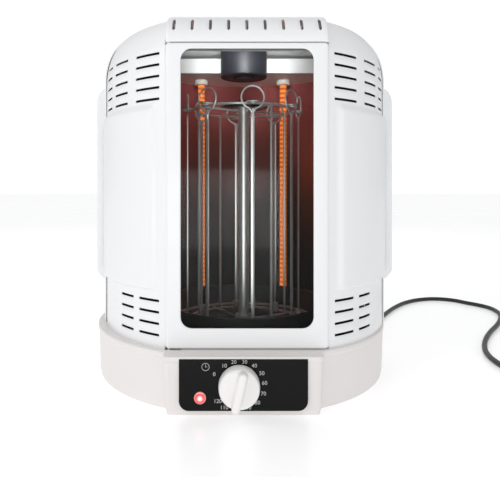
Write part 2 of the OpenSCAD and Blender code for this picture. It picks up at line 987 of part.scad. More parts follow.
module centre_tube() {
    color("silver") difference() {
        translate([0, 0, pan_floor])
            cylinder(h = upper_ring_z + 3 - pan_floor, r = tube_r);
        translate([0, 0, pan_floor - cut])
            cylinder(h = upper_ring_z, r = tube_r - 1);
    }
}

module tube_cap() {
    low = upper_ring_z + 3;
    color("#18181a") {
        translate([0, 0, low])
            cylinder(h = 3, r1 = cap_disc_r, r2 = cap_disc_r - 4);
        translate([0, 0, low + 3])
            cylinder(h = 4, r = 9);
    }
}

// Outline of a skewer's blade: a point in the cup, widening upwards
function blade_edge(foot, neck) = [[-0.4, foot], [0.4, foot], [1.2, foot + 7], [blade_w / 2, foot + 30],
    [blade_w / 2, neck - 8], [1, neck + 1], [-1, neck + 1], [-blade_w / 2, neck - 8],
    [-blade_w / 2, foot + 30], [-1.2, foot + 7]];

module skewer(i) {
    foot = pan_floor + 3;
    neck = handle_z - handle_r;
    color("silver")
        polar(skewer_ring_r, skewer_turn + (i - 1) * 360 / SKEWERS) {
            side_plane(-blade_t / 2, blade_t)
                polygon(blade_edge(foot, neck));
            translate([0, 0, handle_z])
                rotate([0, 90, 0])
                    ring(handle_r, 1);
        }
}

// ---------- Cord ----------

function unit(v) = v / norm(v);

// Direction of the route at point i
function heading(p, i) = unit(p[min(i + 1, len(p) - 1)] - p[max(i - 1, 0)]);

// Points on a smooth curve through the route, n steps between neighbours
function curve_point(a, b, c, d, t) = 0.5 * (2 * b + (c - a) * t + (2 * a - 5 * b + 4 * c - d) * t * t
    + (3 * b - a - 3 * c + d) * t * t * t);
function smooth(p, n) = concat([for (i = [0:len(p) - 2]) for (k = [0:n - 1])
    curve_point(p[max(i - 1, 0)], p[i], p[i + 1], p[min(i + 2, len(p) - 1)], k / n)],
    [p[len(p) - 1]]);

// A round tube swept along a route
module tube_along(p, r) {
    sides = cord_sides;
    count = len(p);
    points = [for (i = [0:count - 1]) let (h = heading(p, i), u = unit(cross([0, 0, 1], h)),
        v = cross(h, u)) for (k = [0:sides - 1])
        p[i] + r * cos(360 * k / sides) * u + r * sin(360 * k / sides) * v];
    walls = [for (i = [0:count - 2]) for (k = [0:sides - 1])
        [i * sides + k, (i + 1) * sides + k, (i + 1) * sides + (k + 1) % sides,
            i * sides + (k + 1) % sides]];
    ends = [[for (k = [0:sides - 1]) k], [for (k = [sides - 1:-1:0]) (count - 1) * sides + k]];
    polyhedron(points, concat(walls, ends));
}

module power_cord() {
    color("#181818") {
        tube_along(smooth(route_out, 2), cord_r);
        tube_along(route_plug, cord_r);
    }
}

module cord_coil() {
    color("#181818")
        translate([coil_x, coil_y, 0])
            rotate_extrude($fn = 96)
                translate([coil_r - 3 * cord_r, 0])
                    square([4 * cord_r, 4 * cord_r]);
}

module cord_tie() {
    color("#282828")
        translate([coil_x, coil_y - coil_r + cord_r, 0])
            difference() {
                translate([-4, -2 * cord_r - 1, 0])
                    cube([8, 4 * cord_r + 2, 4 * cord_r + 1]);
                translate([-4 - cut, -2 * cord_r, -cut])
                    cube([8 + 2 * cut, 4 * cord_r, 4 * cord_r + cut]);
            }
}

module cord_gland() {
    color("#181818")
        at_base()
            rotate([0, 0, gland_angle])
                translate([gland_root, 0, gland_z])
                    rotate([0, 90, 0]) {
                        translate([0, 0, -6])
                            cylinder(h = 6, r = 4.8);
                        cylinder(h = 3, r = 8);
                        translate([0, 0, 3])
                            cylinder(h = gland_len - 3, r1 = 6, r2 = cord_r + 0.8);
                    }
}

module plug_body() {
    color("#181818")
        translate([plug_x - plug_w / 2, plug_y, 0])
            cube([plug_w, plug_len, plug_h]);
    color("#181818")
        translate([plug_x, plug_y + cut, 5])
            rotate([90, 0, 0])
                cylinder(h = 16, r1 = 4.8, r2 = cord_r + 0.8);
}

module plug_pins() {
    color("gold")
        for (s = [-1, 1])
            translate([plug_x + s * 6.35 - 0.75, plug_y + plug_len, 5])
                cube([1.5, 17, 6.3]);
}

base_housing();
bottom_plate();
feet();
base_screws();
control_fascia();
timer_unit();
neon_lamp();
indicator_lens();
drive_motor();
shaft_bush();
terminal_block();
cord_gland();
power_cord();
cord_coil();
cord_tie();
plug_body();
plug_pins();
chamber_floor();
inner_liner();
ceiling_plate();
ceiling_hub();
thermal_cutout();
heater_tube_left();
heater_tube_right();
heater_caps();
door_surround();
hinge_bracket_top();
hinge_bracket_bottom();
catch_magnet();
front_shell_left();
front_shell_right();
top_front_panel();
rear_shell();
side_grip_left();
side_grip_right();
casing_screws();
door_frame();
door_glass();
glass_clips();
hinge_pins();
strike_plate();
timer_knob();
timer_shaft();
drive_shaft();
drive_coupler();
drip_pan();
rack_lower();
rack_upper();
rack_posts();
centre_tube();
tube_cap();
for (i = [1:SKEWERS])
    skewer(i);
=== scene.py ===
"""A countertop rotisserie oven: round white casing, glass door, timer and turntable."""

from __future__ import annotations

import logging
import math
from dataclasses import dataclass, field
from enum import Enum
from typing import Callable, Iterable, Sequence

import bmesh
import bpy
from mathutils import Matrix, Vector


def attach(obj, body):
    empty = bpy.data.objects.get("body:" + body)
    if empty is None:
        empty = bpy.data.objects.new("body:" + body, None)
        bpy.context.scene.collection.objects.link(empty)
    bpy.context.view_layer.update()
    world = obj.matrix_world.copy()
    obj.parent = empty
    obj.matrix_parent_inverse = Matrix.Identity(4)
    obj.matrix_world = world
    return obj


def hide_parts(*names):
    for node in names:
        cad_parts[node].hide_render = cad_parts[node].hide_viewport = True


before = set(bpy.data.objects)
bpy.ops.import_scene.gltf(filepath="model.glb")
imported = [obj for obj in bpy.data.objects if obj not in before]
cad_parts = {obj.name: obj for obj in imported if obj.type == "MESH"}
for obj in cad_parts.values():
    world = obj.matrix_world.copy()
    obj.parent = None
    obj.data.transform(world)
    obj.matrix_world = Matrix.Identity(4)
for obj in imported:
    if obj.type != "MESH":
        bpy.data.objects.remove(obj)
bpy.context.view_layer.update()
LOG = logging.getLogger("oven")
MADE: dict[str, bpy.types.Material] = {}
MM = 0.001
MERGE = 0.002 * MM
NEXT_TO_NOTHING = 1e-14
FACING = -90.0
UPRIGHT = Matrix.Rotation(math.pi / 2, 4, "X")
Point = tuple[float, float, float]
Colour = tuple[float, float, float]
Flat = tuple[float, float]
Rows = tuple[float, float, int]
Socket = bpy.types.NodeSocket
Piece = bpy.types.Object


class Body(Enum):
    """The moving bodies that a piece can ride on."""

    CASING = "body"
    DOOR = "door"
    TIMER = "timer"
    TURNTABLE = "turntable"


class Side(Enum):
    """Left and right, as signs of X."""

    LEFT = -1
    RIGHT = 1


# ---------------------------------------------------------------- finishes


class Shader:
    """A node material that is being put together around one principled shader."""

    def __init__(self, name: str) -> None:
        """Starts an empty material.

        Args:
            name: the material's name.
        """
        self.material = bpy.data.materials.new(name)
        self.material.use_nodes = True
        self.tree = self.material.node_tree
        self.tree.nodes.clear()
        self.out = self.add("ShaderNodeOutputMaterial")
        self.surface = self.add("ShaderNodeBsdfPrincipled")
        self.join(self.surface.outputs[0], self.out.inputs["Surface"])
        self.place = self.add("ShaderNodeTexCoord").outputs["Object"]

    def add(self, kind: str, **settings: object) -> bpy.types.Node:
        """Adds a node.

        Args:
            kind: the node's type name.
            settings: attributes to set on it.

        Returns:
            The node.
        """
        made = self.tree.nodes.new(kind)
        for key, value in settings.items():
            setattr(made, key, value)
        return made

    def join(self, source: Socket, target: Socket) -> None:
        """Links two sockets."""
        self.tree.links.new(source, target)

    def feed(self, label: str, source: Socket) -> None:
        """Links a socket to the principled shader's named input."""
        self.join(source, self.surface.inputs[label])

    def noise(self, scale: float, detail: float = 3.0, stretch: Point = (1, 1, 1)) -> Socket:
        """Adds a noise pattern on object coordinates.

        Args:
            scale: how many features fit in a metre.
            detail: octaves.
            stretch: how the pattern is scaled along each axis.

        Returns:
            The pattern's factor socket.
        """
        mapping = self.add("ShaderNodeMapping")
        mapping.inputs["Scale"].default_value = stretch
        self.join(self.place, mapping.inputs["Vector"])
        pattern = self.add("ShaderNodeTexNoise")
        pattern.inputs["Scale"].default_value = scale
        pattern.inputs["Detail"].default_value = detail
        self.join(mapping.outputs[0], pattern.inputs["Vector"])
        return pattern.outputs[0]

    def ramp(self, factor: Socket, stops: Sequence[tuple[float, Colour]]) -> Socket:
        """Colours a factor.

        Args:
            factor: the socket to colour.
            stops: positions and colours, in order.

        Returns:
            The colour socket.
        """
        made = self.add("ShaderNodeValToRGB")
        band = made.color_ramp
        while len(band.elements) < len(stops):
            band.elements.new(0.5)
        for element, (position, colour) in zip(band.elements, stops):
            element.position = position
            element.color = (*colour, 1.0)
        self.join(factor, made.inputs["Fac"])
        return made.outputs["Color"]

    def spread(
        self, factor: Socket, low: float = 0.0, high: float = 1.0, start: float = 0.3,
        stop: float = 0.7
    ) -> Socket:
        """Maps one range to another.

        Args:
            factor: the socket to map.
            low: the result at the start.
            high: the result at the stop.
            start: the factor that gives the low result.
            stop: the factor that gives the high result.

        Returns:
            The mapped socket.
        """
        made = self.add("ShaderNodeMapRange")
        for label, value in (
            ("From Min", start), ("From Max", stop), ("To Min", low), ("To Max", high)
        ):
            made.inputs[label].default_value = value
        self.join(factor, made.inputs["Value"])
        return made.outputs["Result"]

    def bump(self, height: Socket, strength: float, depth: float) -> None:
        """Gives the surface relief.

        Args:
            height: the height pattern.
            strength: how much of it shows.
            depth: its depth in metres.
        """
        made = self.add("ShaderNodeBump")
        made.inputs["Strength"].default_value = strength
        made.inputs["Distance"].default_value = depth
        self.join(height, made.inputs["Height"])
        self.join(made.outputs[0], self.surface.inputs["Normal"])

    def set(self, **values: object) -> None:
        """Sets the principled shader's own sockets; an underscore stands for a space."""
        for key, value in values.items():
            self.surface.inputs[key.replace("_", " ")].default_value = value


@dataclass(frozen=True)
class Finish:
    """A painted, moulded or plated surface with fine variation in colour, gloss and relief."""

    name: str
    colour: Colour
    rough: float = 0.4
    metal: float = 0.0
    coat: float = 0.0
    wander: float = 0.03
    patch: float = 14.0
    grain: float = 0.08
    grain_scale: float = 900.0
    grain_depth: float = 0.00004
    stretch: Point = (1.0, 1.0, 1.0)
    specular: float = 0.5
    rough_wander: float = 0.15

    def material(self) -> bpy.types.Material:
        """Returns the material, made once."""
        if self.name not in MADE:
            shader = Shader(self.name + "_finish")
            self.dress(shader)
            MADE[self.name] = shader.material
        return MADE[self.name]

    def dress(self, shader: Shader) -> None:
        """Puts the finish's nodes in place.

        Args:
            shader: the material to fill.
        """
        low = tuple(c * (1 - self.wander) for c in self.colour)
        high = tuple(min(1.0, c * (1 + self.wander)) for c in self.colour)
        patches = shader.noise(self.patch, 4.0, self.stretch)
        shader.feed("Base Color", shader.ramp(patches, [(0.35, low), (0.65, high)]))
        streaks = shader.noise(self.grain_scale * 0.2, 5.0, self.stretch)
        dull, shiny = self.rough * (1 + self.rough_wander), self.rough * (1 - self.rough_wander)
        shader.feed("Roughness", shader.spread(streaks, shiny, min(1.0, dull)))
        shader.set(
            Metallic=self.metal, Coat_Weight=self.coat, Coat_Roughness=0.06,
            Specular_IOR_Level=self.specular
        )
        shader.bump(
            shader.noise(self.grain_scale, 2.0, self.stretch), self.grain, self.grain_depth
        )


@dataclass(frozen=True)
class Enamel(Finish):
    """Dark baked enamel with pale specks."""

    speck: Colour = (0.16, 0.16, 0.17)

    def dress(self, shader: Shader) -> None:
        """Puts the enamel's nodes in place.

        Args:
            shader: the material to fill.
        """
        Finish.dress(self, shader)
        specks = shader.add("ShaderNodeTexVoronoi")
        specks.inputs["Scale"].default_value = 650.0
        shader.join(shader.place, specks.inputs["Vector"])
        tone = shader.ramp(specks.outputs["Distance"], [(0.10, self.speck), (0.20, self.colour)])
        shader.feed("Base Color", tone)


@dataclass(frozen=True)
class Reflector(Finish):
    """Polished reflector sheet, with painted shade darkening it towards the bottom, a painted rose
    reflection of the heaters' glow towards the top, and painted shade on its back face.
    """

    # Painted glow reflection: the rose colour that the height bands reach at the top of the sheet.
    reflected_glow: Colour = (0.80, 0.27, 0.27)
    inner_radius: float = 0.126

    def dress(self, shader: Shader) -> None:
        """Puts the reflector's nodes in place.

        Args:
            shader: the material to fill.
        """
        Finish.dress(self, shader)
        # Painted shade and painted glow: colour bands by height, near-black at the floor for shade
        # and rose near the top for the heaters' reflected glow.
        split = shader.add("ShaderNodeSeparateXYZ")
        shader.join(shader.place, split.inputs[0])
        height = shader.spread(split.outputs["Z"], start=0.10, stop=0.30)
        blend = shader.add("ShaderNodeMix", data_type="RGBA", blend_type="MULTIPLY")
        blend.inputs["Factor"].default_value = 0.35
        shade_and_glow_bands = shader.ramp(
            height,
            [
                (0.0, (0.05, 0.045, 0.044)), (0.35, (0.11, 0.07, 0.066)),
                (0.72, (0.45, 0.19, 0.18)), (1.0, self.reflected_glow)
            ],
        )
        shader.join(shade_and_glow_bands, blend.inputs["A"])
        shader.join(
            shader.ramp(
                shader.noise(9.0, 4.0, (1.0, 1.0, 0.25)),
                [(0.3, (0.5, 0.45, 0.45)), (0.7, (1, 1, 1))]
            ),
            blend.inputs["B"],
        )
        # Painted shade: beyond the wall's radius the sheet's back face is painted near-black, so
        # the interior seen through the casing slots reads as shade.
        flat = shader.add("ShaderNodeMapping")
        flat.inputs["Scale"].default_value = (1.0, 1.0, 0.0)
        shader.join(shader.place, flat.inputs["Vector"])
        reach = shader.add("ShaderNodeVectorMath", operation="LENGTH")
        shader.join(flat.outputs[0], reach.inputs[0])
        wall = self.inner_radius
        back = shader.spread(reach.outputs["Value"], start=wall + 0.3 * MM, stop=wall + 0.6 * MM)
        outer = shader.add("ShaderNodeMix", data_type="RGBA")
        shader.join(back, outer.inputs["Factor"])
        shader.join(blend.outputs["Result"], outer.inputs["A"])
        outer.inputs["B"].default_value = (0.035, 0.035, 0.036, 1.0)
        shader.feed("Base Color", outer.outputs["Result"])


@dataclass(frozen=True)
class ClearGlass(Finish):
    """Clear window glass that lets the chamber show and reflects softly."""

    def dress(self, shader: Shader) -> None:
        """Puts the glass nodes in place.

        Args:
            shader: the material to fill.
        """
        through = shader.add("ShaderNodeBsdfTransparent")
        through.inputs["Color"].default_value = (*self.colour, 1.0)
        shine = shader.add("ShaderNodeBsdfGlossy")
        shine.inputs["Roughness"].default_value = self.rough
        edge = shader.add("ShaderNodeFresnel")
        edge.inputs["IOR"].default_value = 1.45
        smear = shader.spread(shader.noise(6.0, 3.0, (1.0, 1.0, 0.4)), 0.12, 0.20)
        power = shader.add("ShaderNodeMath", operation="MULTIPLY")
        shader.join(edge.outputs[0], power.inputs[0])
        shader.join(smear, power.inputs[1])
        blend = shader.add("ShaderNodeMixShader")
        shader.join(power.outputs[0], blend.inputs[0])
        shader.join(through.outputs[0], blend.inputs[1])
        shader.join(shine.outputs[0], blend.inputs[2])
        shader.join(blend.outputs[0], shader.out.inputs["Surface"])


@dataclass(frozen=True)
class Quartz(Finish):
    """Orange ribbed quartz that glows a little."""

    glow: float = 0.95

    def dress(self, shader: Shader) -> None:
        """Puts the quartz nodes in place.

        Args:
            shader: the material to fill.
        """
        Finish.dress(self, shader)
        ribs = shader.add("ShaderNodeTexWave", wave_type="BANDS", bands_direction="Z")
        ribs.inputs["Scale"].default_value = 55.0
        ribs.inputs["Distortion"].default_value = 0.4
        shader.join(shader.place, ribs.inputs["Vector"])
        tone = shader.ramp(ribs.outputs["Fac"], [(0.2, (0.42, 0.09, 0.02)), (0.8, self.colour)])
        shader.feed("Base Color", tone)
        shader.feed("Emission Color", tone)
        shader.set(Emission_Strength=self.glow, Coat_Weight=0.8)
        shader.bump(ribs.outputs["Fac"], 0.5, 0.0003)


@dataclass(frozen=True)
class LampLens(Finish):
    """A lit red lens, white at its centre."""

    centre: Point = (0.0, 0.0, 0.0)
    radius: float = 0.005

    def dress(self, shader: Shader) -> None:
        """Puts the lens nodes in place.

        Args:
            shader: the material to fill.
        """
        Finish.dress(self, shader)
        away = shader.add("ShaderNodeVectorMath", operation="DISTANCE")
        away.inputs[1].default_value = self.centre
        shader.join(shader.place, away.inputs[0])
        span = shader.spread(away.outputs["Value"], start=0.0, stop=self.radius)
        tone = shader.ramp(
            span,
            [
                (0.18, (1.0, 0.86, 0.84)), (0.42, (0.93, 0.20, 0.20)), (0.72, (0.55, 0.02, 0.03)),
                (0.92, (0.68, 0.20, 0.20))
            ],
        )
        shader.feed("Base Color", tone)
        shader.feed("Emission Color", tone)
        shader.set(Emission_Strength=0.55, Coat_Weight=1.0)


CASING_PAINT = Finish(
    "casing_paint", (0.865, 0.872, 0.878), rough=0.38, coat=0.12, wander=0.004, grain=0.03,
    grain_scale=1400, rough_wander=0.03
)
BASE_PLASTIC = Finish(
    "base_plastic", (0.80, 0.765, 0.752), rough=0.40, coat=0.05, wander=0.006, grain=0.05,
    grain_scale=1500, rough_wander=0.04
)
GRIP_PLASTIC = Finish(
    "grip_plastic", (0.85, 0.857, 0.862), rough=0.40, coat=0.05, wander=0.005, grain=0.05,
    grain_scale=1500, rough_wander=0.04
)
KNOB_PLASTIC = Finish(
    "knob_plastic", (0.89, 0.872, 0.862), rough=0.36, coat=0.05, wander=0.005, grain=0.04,
    grain_scale=1800, rough_wander=0.04
)
FASCIA_BLACK = Finish(
    "fascia_black", (0.006, 0.006, 0.0065), rough=0.22, wander=0.1, grain=0.02, specular=0.12,
    rough_wander=0.06
)
DIAL_PRINT = Finish(
    "dial_print", (0.55, 0.55, 0.54), rough=0.6, wander=0.05, grain=0.1, grain_scale=3000
)
PLATED_STEEL = Finish(
    "plated_steel", (0.58, 0.585, 0.59), rough=0.38, metal=1.0, wander=0.06, patch=60, grain=0.12,
    stretch=(1, 1, 0.15)
)
BRIGHT_STEEL = Finish(
    "bright_steel", (0.68, 0.68, 0.69), rough=0.22, metal=1.0, wander=0.05, patch=80
)
PALE_STEEL = Finish("pale_steel", (0.86, 0.86, 0.86), rough=0.5, wander=0.03, patch=30)
CHROME_WIRE = Finish(
    "chrome_wire", (0.95, 0.94, 0.93), rough=0.30, metal=0.72, wander=0.03, patch=40, grain=0.004,
    rough_wander=0.05
)
CHAMBER_ENAMEL = Enamel("chamber_enamel", (0.022, 0.022, 0.024), rough=0.32, coat=0.3)
PAN_COATING = Enamel(
    "pan_coating", (0.014, 0.014, 0.015), rough=0.36, coat=0.2, speck=(0.07, 0.07, 0.075)
)
HUB_ENAMEL = Finish(
    "hub_enamel", (0.022, 0.023, 0.030), rough=0.46, metal=0.1, wander=0.12, patch=40
)
LINER_SHEET = Reflector(
    "liner_sheet", (0.6, 0.58, 0.56), rough=0.34, metal=0.55, wander=0.05, grain=0.2,
    grain_scale=300, stretch=(1, 1, 0.05)
)
HEATER_QUARTZ = Quartz("heater_quartz", (0.90, 0.25, 0.045), rough=0.25)
CERAMIC = Finish("ceramic", (0.72, 0.69, 0.64), rough=0.35, coat=0.4, wander=0.05, patch=120)
DOOR_GLASS = ClearGlass("door_glass", (0.93, 0.945, 0.94), rough=0.03)
LAMP_GLASS = Finish("lamp_glass", (0.85, 0.35, 0.15), rough=0.15, coat=0.6, wander=0.1, patch=200)
CORD_SHEATH = Finish(
    "cord_sheath", (0.012, 0.012, 0.013), rough=0.42, wander=0.2, patch=60, grain=0.25,
    grain_scale=1500
)
PLUG_PLASTIC = Finish(
    "plug_plastic", (0.014, 0.014, 0.015), rough=0.5, wander=0.2, patch=80, grain=0.35,
    grain_scale=1800
)
BLADE_BRASS = Finish(
    "blade_brass", (0.72, 0.60, 0.34), rough=0.24, metal=1.0, wander=0.08, patch=120
)
RUBBER = Finish("rubber", (0.03, 0.03, 0.03), rough=0.75, wander=0.15, grain=0.3, grain_scale=1200)
BLACK_PLASTIC = Finish(
    "black_plastic", (0.02, 0.02, 0.021), rough=0.28, coat=0.3, wander=0.15, patch=60
)
CASE_PLASTIC = Finish(
    "case_plastic", (0.45, 0.45, 0.43), rough=0.55, wander=0.06, patch=50, grain=0.2
)
BLOCK_PLASTIC = Finish(
    "block_plastic", (0.70, 0.67, 0.58), rough=0.5, wander=0.05, patch=60, grain=0.2
)


# ---------------------------------------------------------------- meshes


def as_object(name: str, mesh: bpy.types.Mesh) -> Piece:
    """Puts a mesh in the scene as an object at the origin.

    Args:
        name: the piece's name.
        mesh: its mesh.

    Returns:
        The object.
    """
    mesh.name = name
    made = bpy.data.objects.new(name, mesh)
    bpy.context.scene.collection.objects.link(made)
    return made


def around(radius: float, angle: float, z: float = 0.0) -> Point:
    """Returns the point at a radius in mm and an angle in degrees from the front."""
    a = math.radians(FACING + angle)
    return (radius * math.cos(a), radius * math.sin(a), z)


def ring(radius: float, steps: int, z: float = 0.0) -> list[Point]:
    """Returns the points of a circle about Z, counterclockwise from +X."""
    angles = [math.tau * k / steps for k in range(steps)]
    return [(radius * math.cos(a), radius * math.sin(a), z) for a in angles]


def smooth(made: Piece, angle: float = 32.0) -> Piece:
    """Smooths a piece's shading up to an angle in degrees and returns it."""
    made.data.shade_smooth()
    made.data.set_sharp_from_angle(angle=math.radians(angle))
    return made


def soften(made: Piece, width: float, segments: int = 2, angle: float = 35.0) -> Piece:
    """Rounds a piece's sharp edges.

    Args:
        made: the piece.
        width: the bevel's width in mm.
        segments: its segments.
        angle: the least angle that is rounded, in degrees.

    Returns:
        The piece.
    """
    rounding = made.modifiers.new("soft_edges", "BEVEL")
    rounding.width = width * MM
    rounding.segments = segments
    rounding.limit_method = "ANGLE"
    rounding.angle_limit = math.radians(angle)
    rounding.use_clamp_overlap = True
    return made


def thicken(made: Piece, wall: float) -> Piece:
    """Gives a one-sided sheet its wall, inwards, in mm, and returns it."""
    sheet = made.modifiers.new("sheet", "SOLIDIFY")
    sheet.thickness = wall * MM
    sheet.offset = -1.0
    sheet.use_even_offset = True
    return made


def fit(
    made: Piece,
    body: Body,
    finish: Finish | None = None,
    nodes: Iterable[str] = (),
) -> Piece:
    """Dresses a piece, hangs it on its body and reports it.

    Args:
        made: the piece.
        body: the body it rides on.
        finish: its finish, or None to keep what it has.
        nodes: the CAD nodes it stands for.

    Returns:
        The piece.
    """
    if finish is not None:
        made.data.materials.clear()
        made.data.materials.append(finish.material())
    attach(made, body.value)
    names = list(nodes)
    if names:
        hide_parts(*names)
    LOG.info("%s on %s", made.name, body.value)
    return made


def keep(work: bmesh.types.BMesh, name: str, angle: float = 32.0) -> Piece:
    """Turns a mesh under construction, which is freed, into a smoothed object and returns it."""
    mesh = bpy.data.meshes.new(name)
    work.to_mesh(mesh)
    work.free()
    return smooth(as_object(name, mesh), angle)


def finished(
    work: bmesh.types.BMesh, name: str, merge: float = 0.002, outward: bool = True
) -> Piece:
    """Closes a mesh under construction.

    Args:
        work: the mesh under construction, which is freed.
        name: the piece's name.
        merge: points nearer than this, in mm, become one.
        outward: whether to turn all faces outwards.

    Returns:
        The smoothed object.
    """
    bmesh.ops.remove_doubles(work, verts=work.verts, dist=merge * MM)
    if outward:
        bmesh.ops.recalc_face_normals(work, faces=work.faces)
    return keep(work, name)


def sheet_grid(
    name: str,
    rows: Sequence[Sequence[Point]],
    hole: Callable[[int, int], bool] | None = None,
    away_from: Point = (0.0, 0.0, 150.0),
) -> Piece:
    """Makes an open sheet from rows of points, with cells left out where holes are.

    Args:
        name: the piece's name.
        rows: rows of points in mm, all of one length.
        hole: says whether the cell at a row and column is left out.
        away_from: a point in mm that the faces look away from.

    Returns:
        The sheet.
    """
    work = bmesh.new()
    grid = [[work.verts.new([c * MM for c in point]) for point in row] for row in rows]
    for i in range(len(rows) - 1):
        for j in range(len(rows[0]) - 1):
            if hole is None or not hole(i, j):
                work.faces.new((grid[i][j], grid[i][j + 1], grid[i + 1][j + 1], grid[i + 1][j]))
    bmesh.ops.remove_doubles(work, verts=work.verts, dist=MERGE)
    loose = [v for v in work.verts if not v.link_faces]
    bmesh.ops.delete(work, geom=loose, context="VERTS")
    work.normal_update()
    middle = Vector(away_from) * MM
    score = sum(
        (f.calc_center_median() - middle).dot(f.normal) * f.calc_area() for f in work.faces
    )
    if score < 0:
        bmesh.ops.reverse_faces(work, faces=work.faces)
    return keep(work, name)


def turned(
    name: str, profile: Sequence[Flat], steps: int = 96, place: Matrix | None = None
) -> Piece:
    """Turns a closed profile about Z.

    Args:
        name: the piece's name.
        profile: radius and height pairs in mm, whose ends are joined.
        steps: steps round the axis.
        place: where the turned shape goes, in metres.

    Returns:
        The piece.
    """
    work = bmesh.new()
    add_rings(work, [ring(radius, steps, height) for radius, height in profile], join_ends=True)
    if place is not None:
        bmesh.ops.transform(work, matrix=place, verts=work.verts)
    bmesh.ops.remove_doubles(work, verts=work.verts, dist=MERGE)
    flat = [f for f in work.faces if f.calc_area() < NEXT_TO_NOTHING]
    bmesh.ops.delete(work, geom=flat, context="FACES_ONLY")
    return finished(work, name)


def add_rings(
    work: bmesh.types.BMesh, loops: Sequence[Sequence[Point]], join_ends: bool = False,
    caps: bool = False
) -> None:
    """Adds a skin over closed loops of one length.

    Args:
        work: the mesh under construction.
        loops: loops of points in mm.
        join_ends: whether the last loop joins the first.
        caps: whether the end loops are filled.
    """
    rings = [[work.verts.new([c * MM for c in point]) for point in loop] for loop in loops]
    size = len(rings[0])
    pairs = list(zip(rings, rings[1:])) + ([(rings[-1], rings[0])] if join_ends else [])
    for a, b in pairs:
        for k in range(size):
            work.faces.new((a[k], a[(k + 1) % size], b[(k + 1) % size], b[k]))
    if caps:
        work.faces.new(rings[0])
        work.faces.new(rings[-1])


def add_tube(
    work: bmesh.types.BMesh, path: Sequence[Point], radius: float, sides: int = 10
) -> None:
    """Adds a round closed tube along a path.

    Args:
        work: the mesh under construction.
        path: points in mm.
        radius: the tube's radius in mm.
        sides: its sides.
    """
    points = [Vector(p) for p in path]
    loops = []
    across = None
    for i, point in enumerate(points):
        ahead = (points[min(i + 1, len(points) - 1)] - points[max(i - 1, 0)]).normalized()
        if across is None:
            across = ahead.orthogonal().normalized()
        across = (across - ahead * across.dot(ahead)).normalized()
        other = ahead.cross(across)
        loops.append([tuple(point + across * x + other * y) for x, y, _ in ring(radius, sides)])
    add_rings(work, loops, caps=True)


def carried(node: str, edge: float = 0.0, angle: float = 32.0) -> Piece:
    """Copies a CAD node as a merged, smoothly shaded piece.

    Args:
        node: the CAD node's name.
        edge: how far its sharp edges are rounded, in mm.
        angle: the greatest angle that is shaded smooth, in degrees.

    Returns:
        The piece.
    """
    work = bmesh.new()
    work.from_mesh(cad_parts[node].data)
    bmesh.ops.remove_doubles(work, verts=work.verts, dist=0.003 * MM)
    if edge:
        bmesh.ops.dissolve_limit(
            work, angle_limit=math.radians(0.6), verts=work.verts, edges=work.edges
        )
    made = keep(work, node + "_piece", angle)
    return soften(made, edge) if edge else made


def carry(body: Body, finish: Finish, node: str, edge: float = 0.0) -> Piece:
    """Dresses a CAD node's own shape.

    Args:
        body: the body it rides on.
        finish: its finish.
        node: the CAD node's name.
        edge: how far its sharp edges are rounded, in mm.

    Returns:
        The piece.
    """
    return fit(carried(node, edge), body, finish, [node])


def lines(marks: Iterable[float], step: float) -> list[float]:
    """Fills the spans between marks.

    Args:
        marks: values that must be in the list.
        step: the greatest distance between neighbours.

    Returns:
        The sorted values.
    """
    kept: list[float] = []
    for mark in sorted(marks):
        if not kept or mark - kept[-1] > 1e-4:
            kept.append(mark)
    filled = [kept[0]]
    for a, b in zip(kept, kept[1:]):
        parts = max(1, math.ceil((b - a) / step - 1e-6))
        filled += [a + (b - a) * k / parts for k in range(1, parts + 1)]
    return filled


def ease(low: float, high: float, value: float) -> float:
    """Returns a smooth step from 0 at low to 1 at high."""
    t = min(1.0, max(0.0, (value - low) / (high - low)))
    return t * t * (3 - 2 * t)


# ---------------------------------------------------------------- geometry nodes


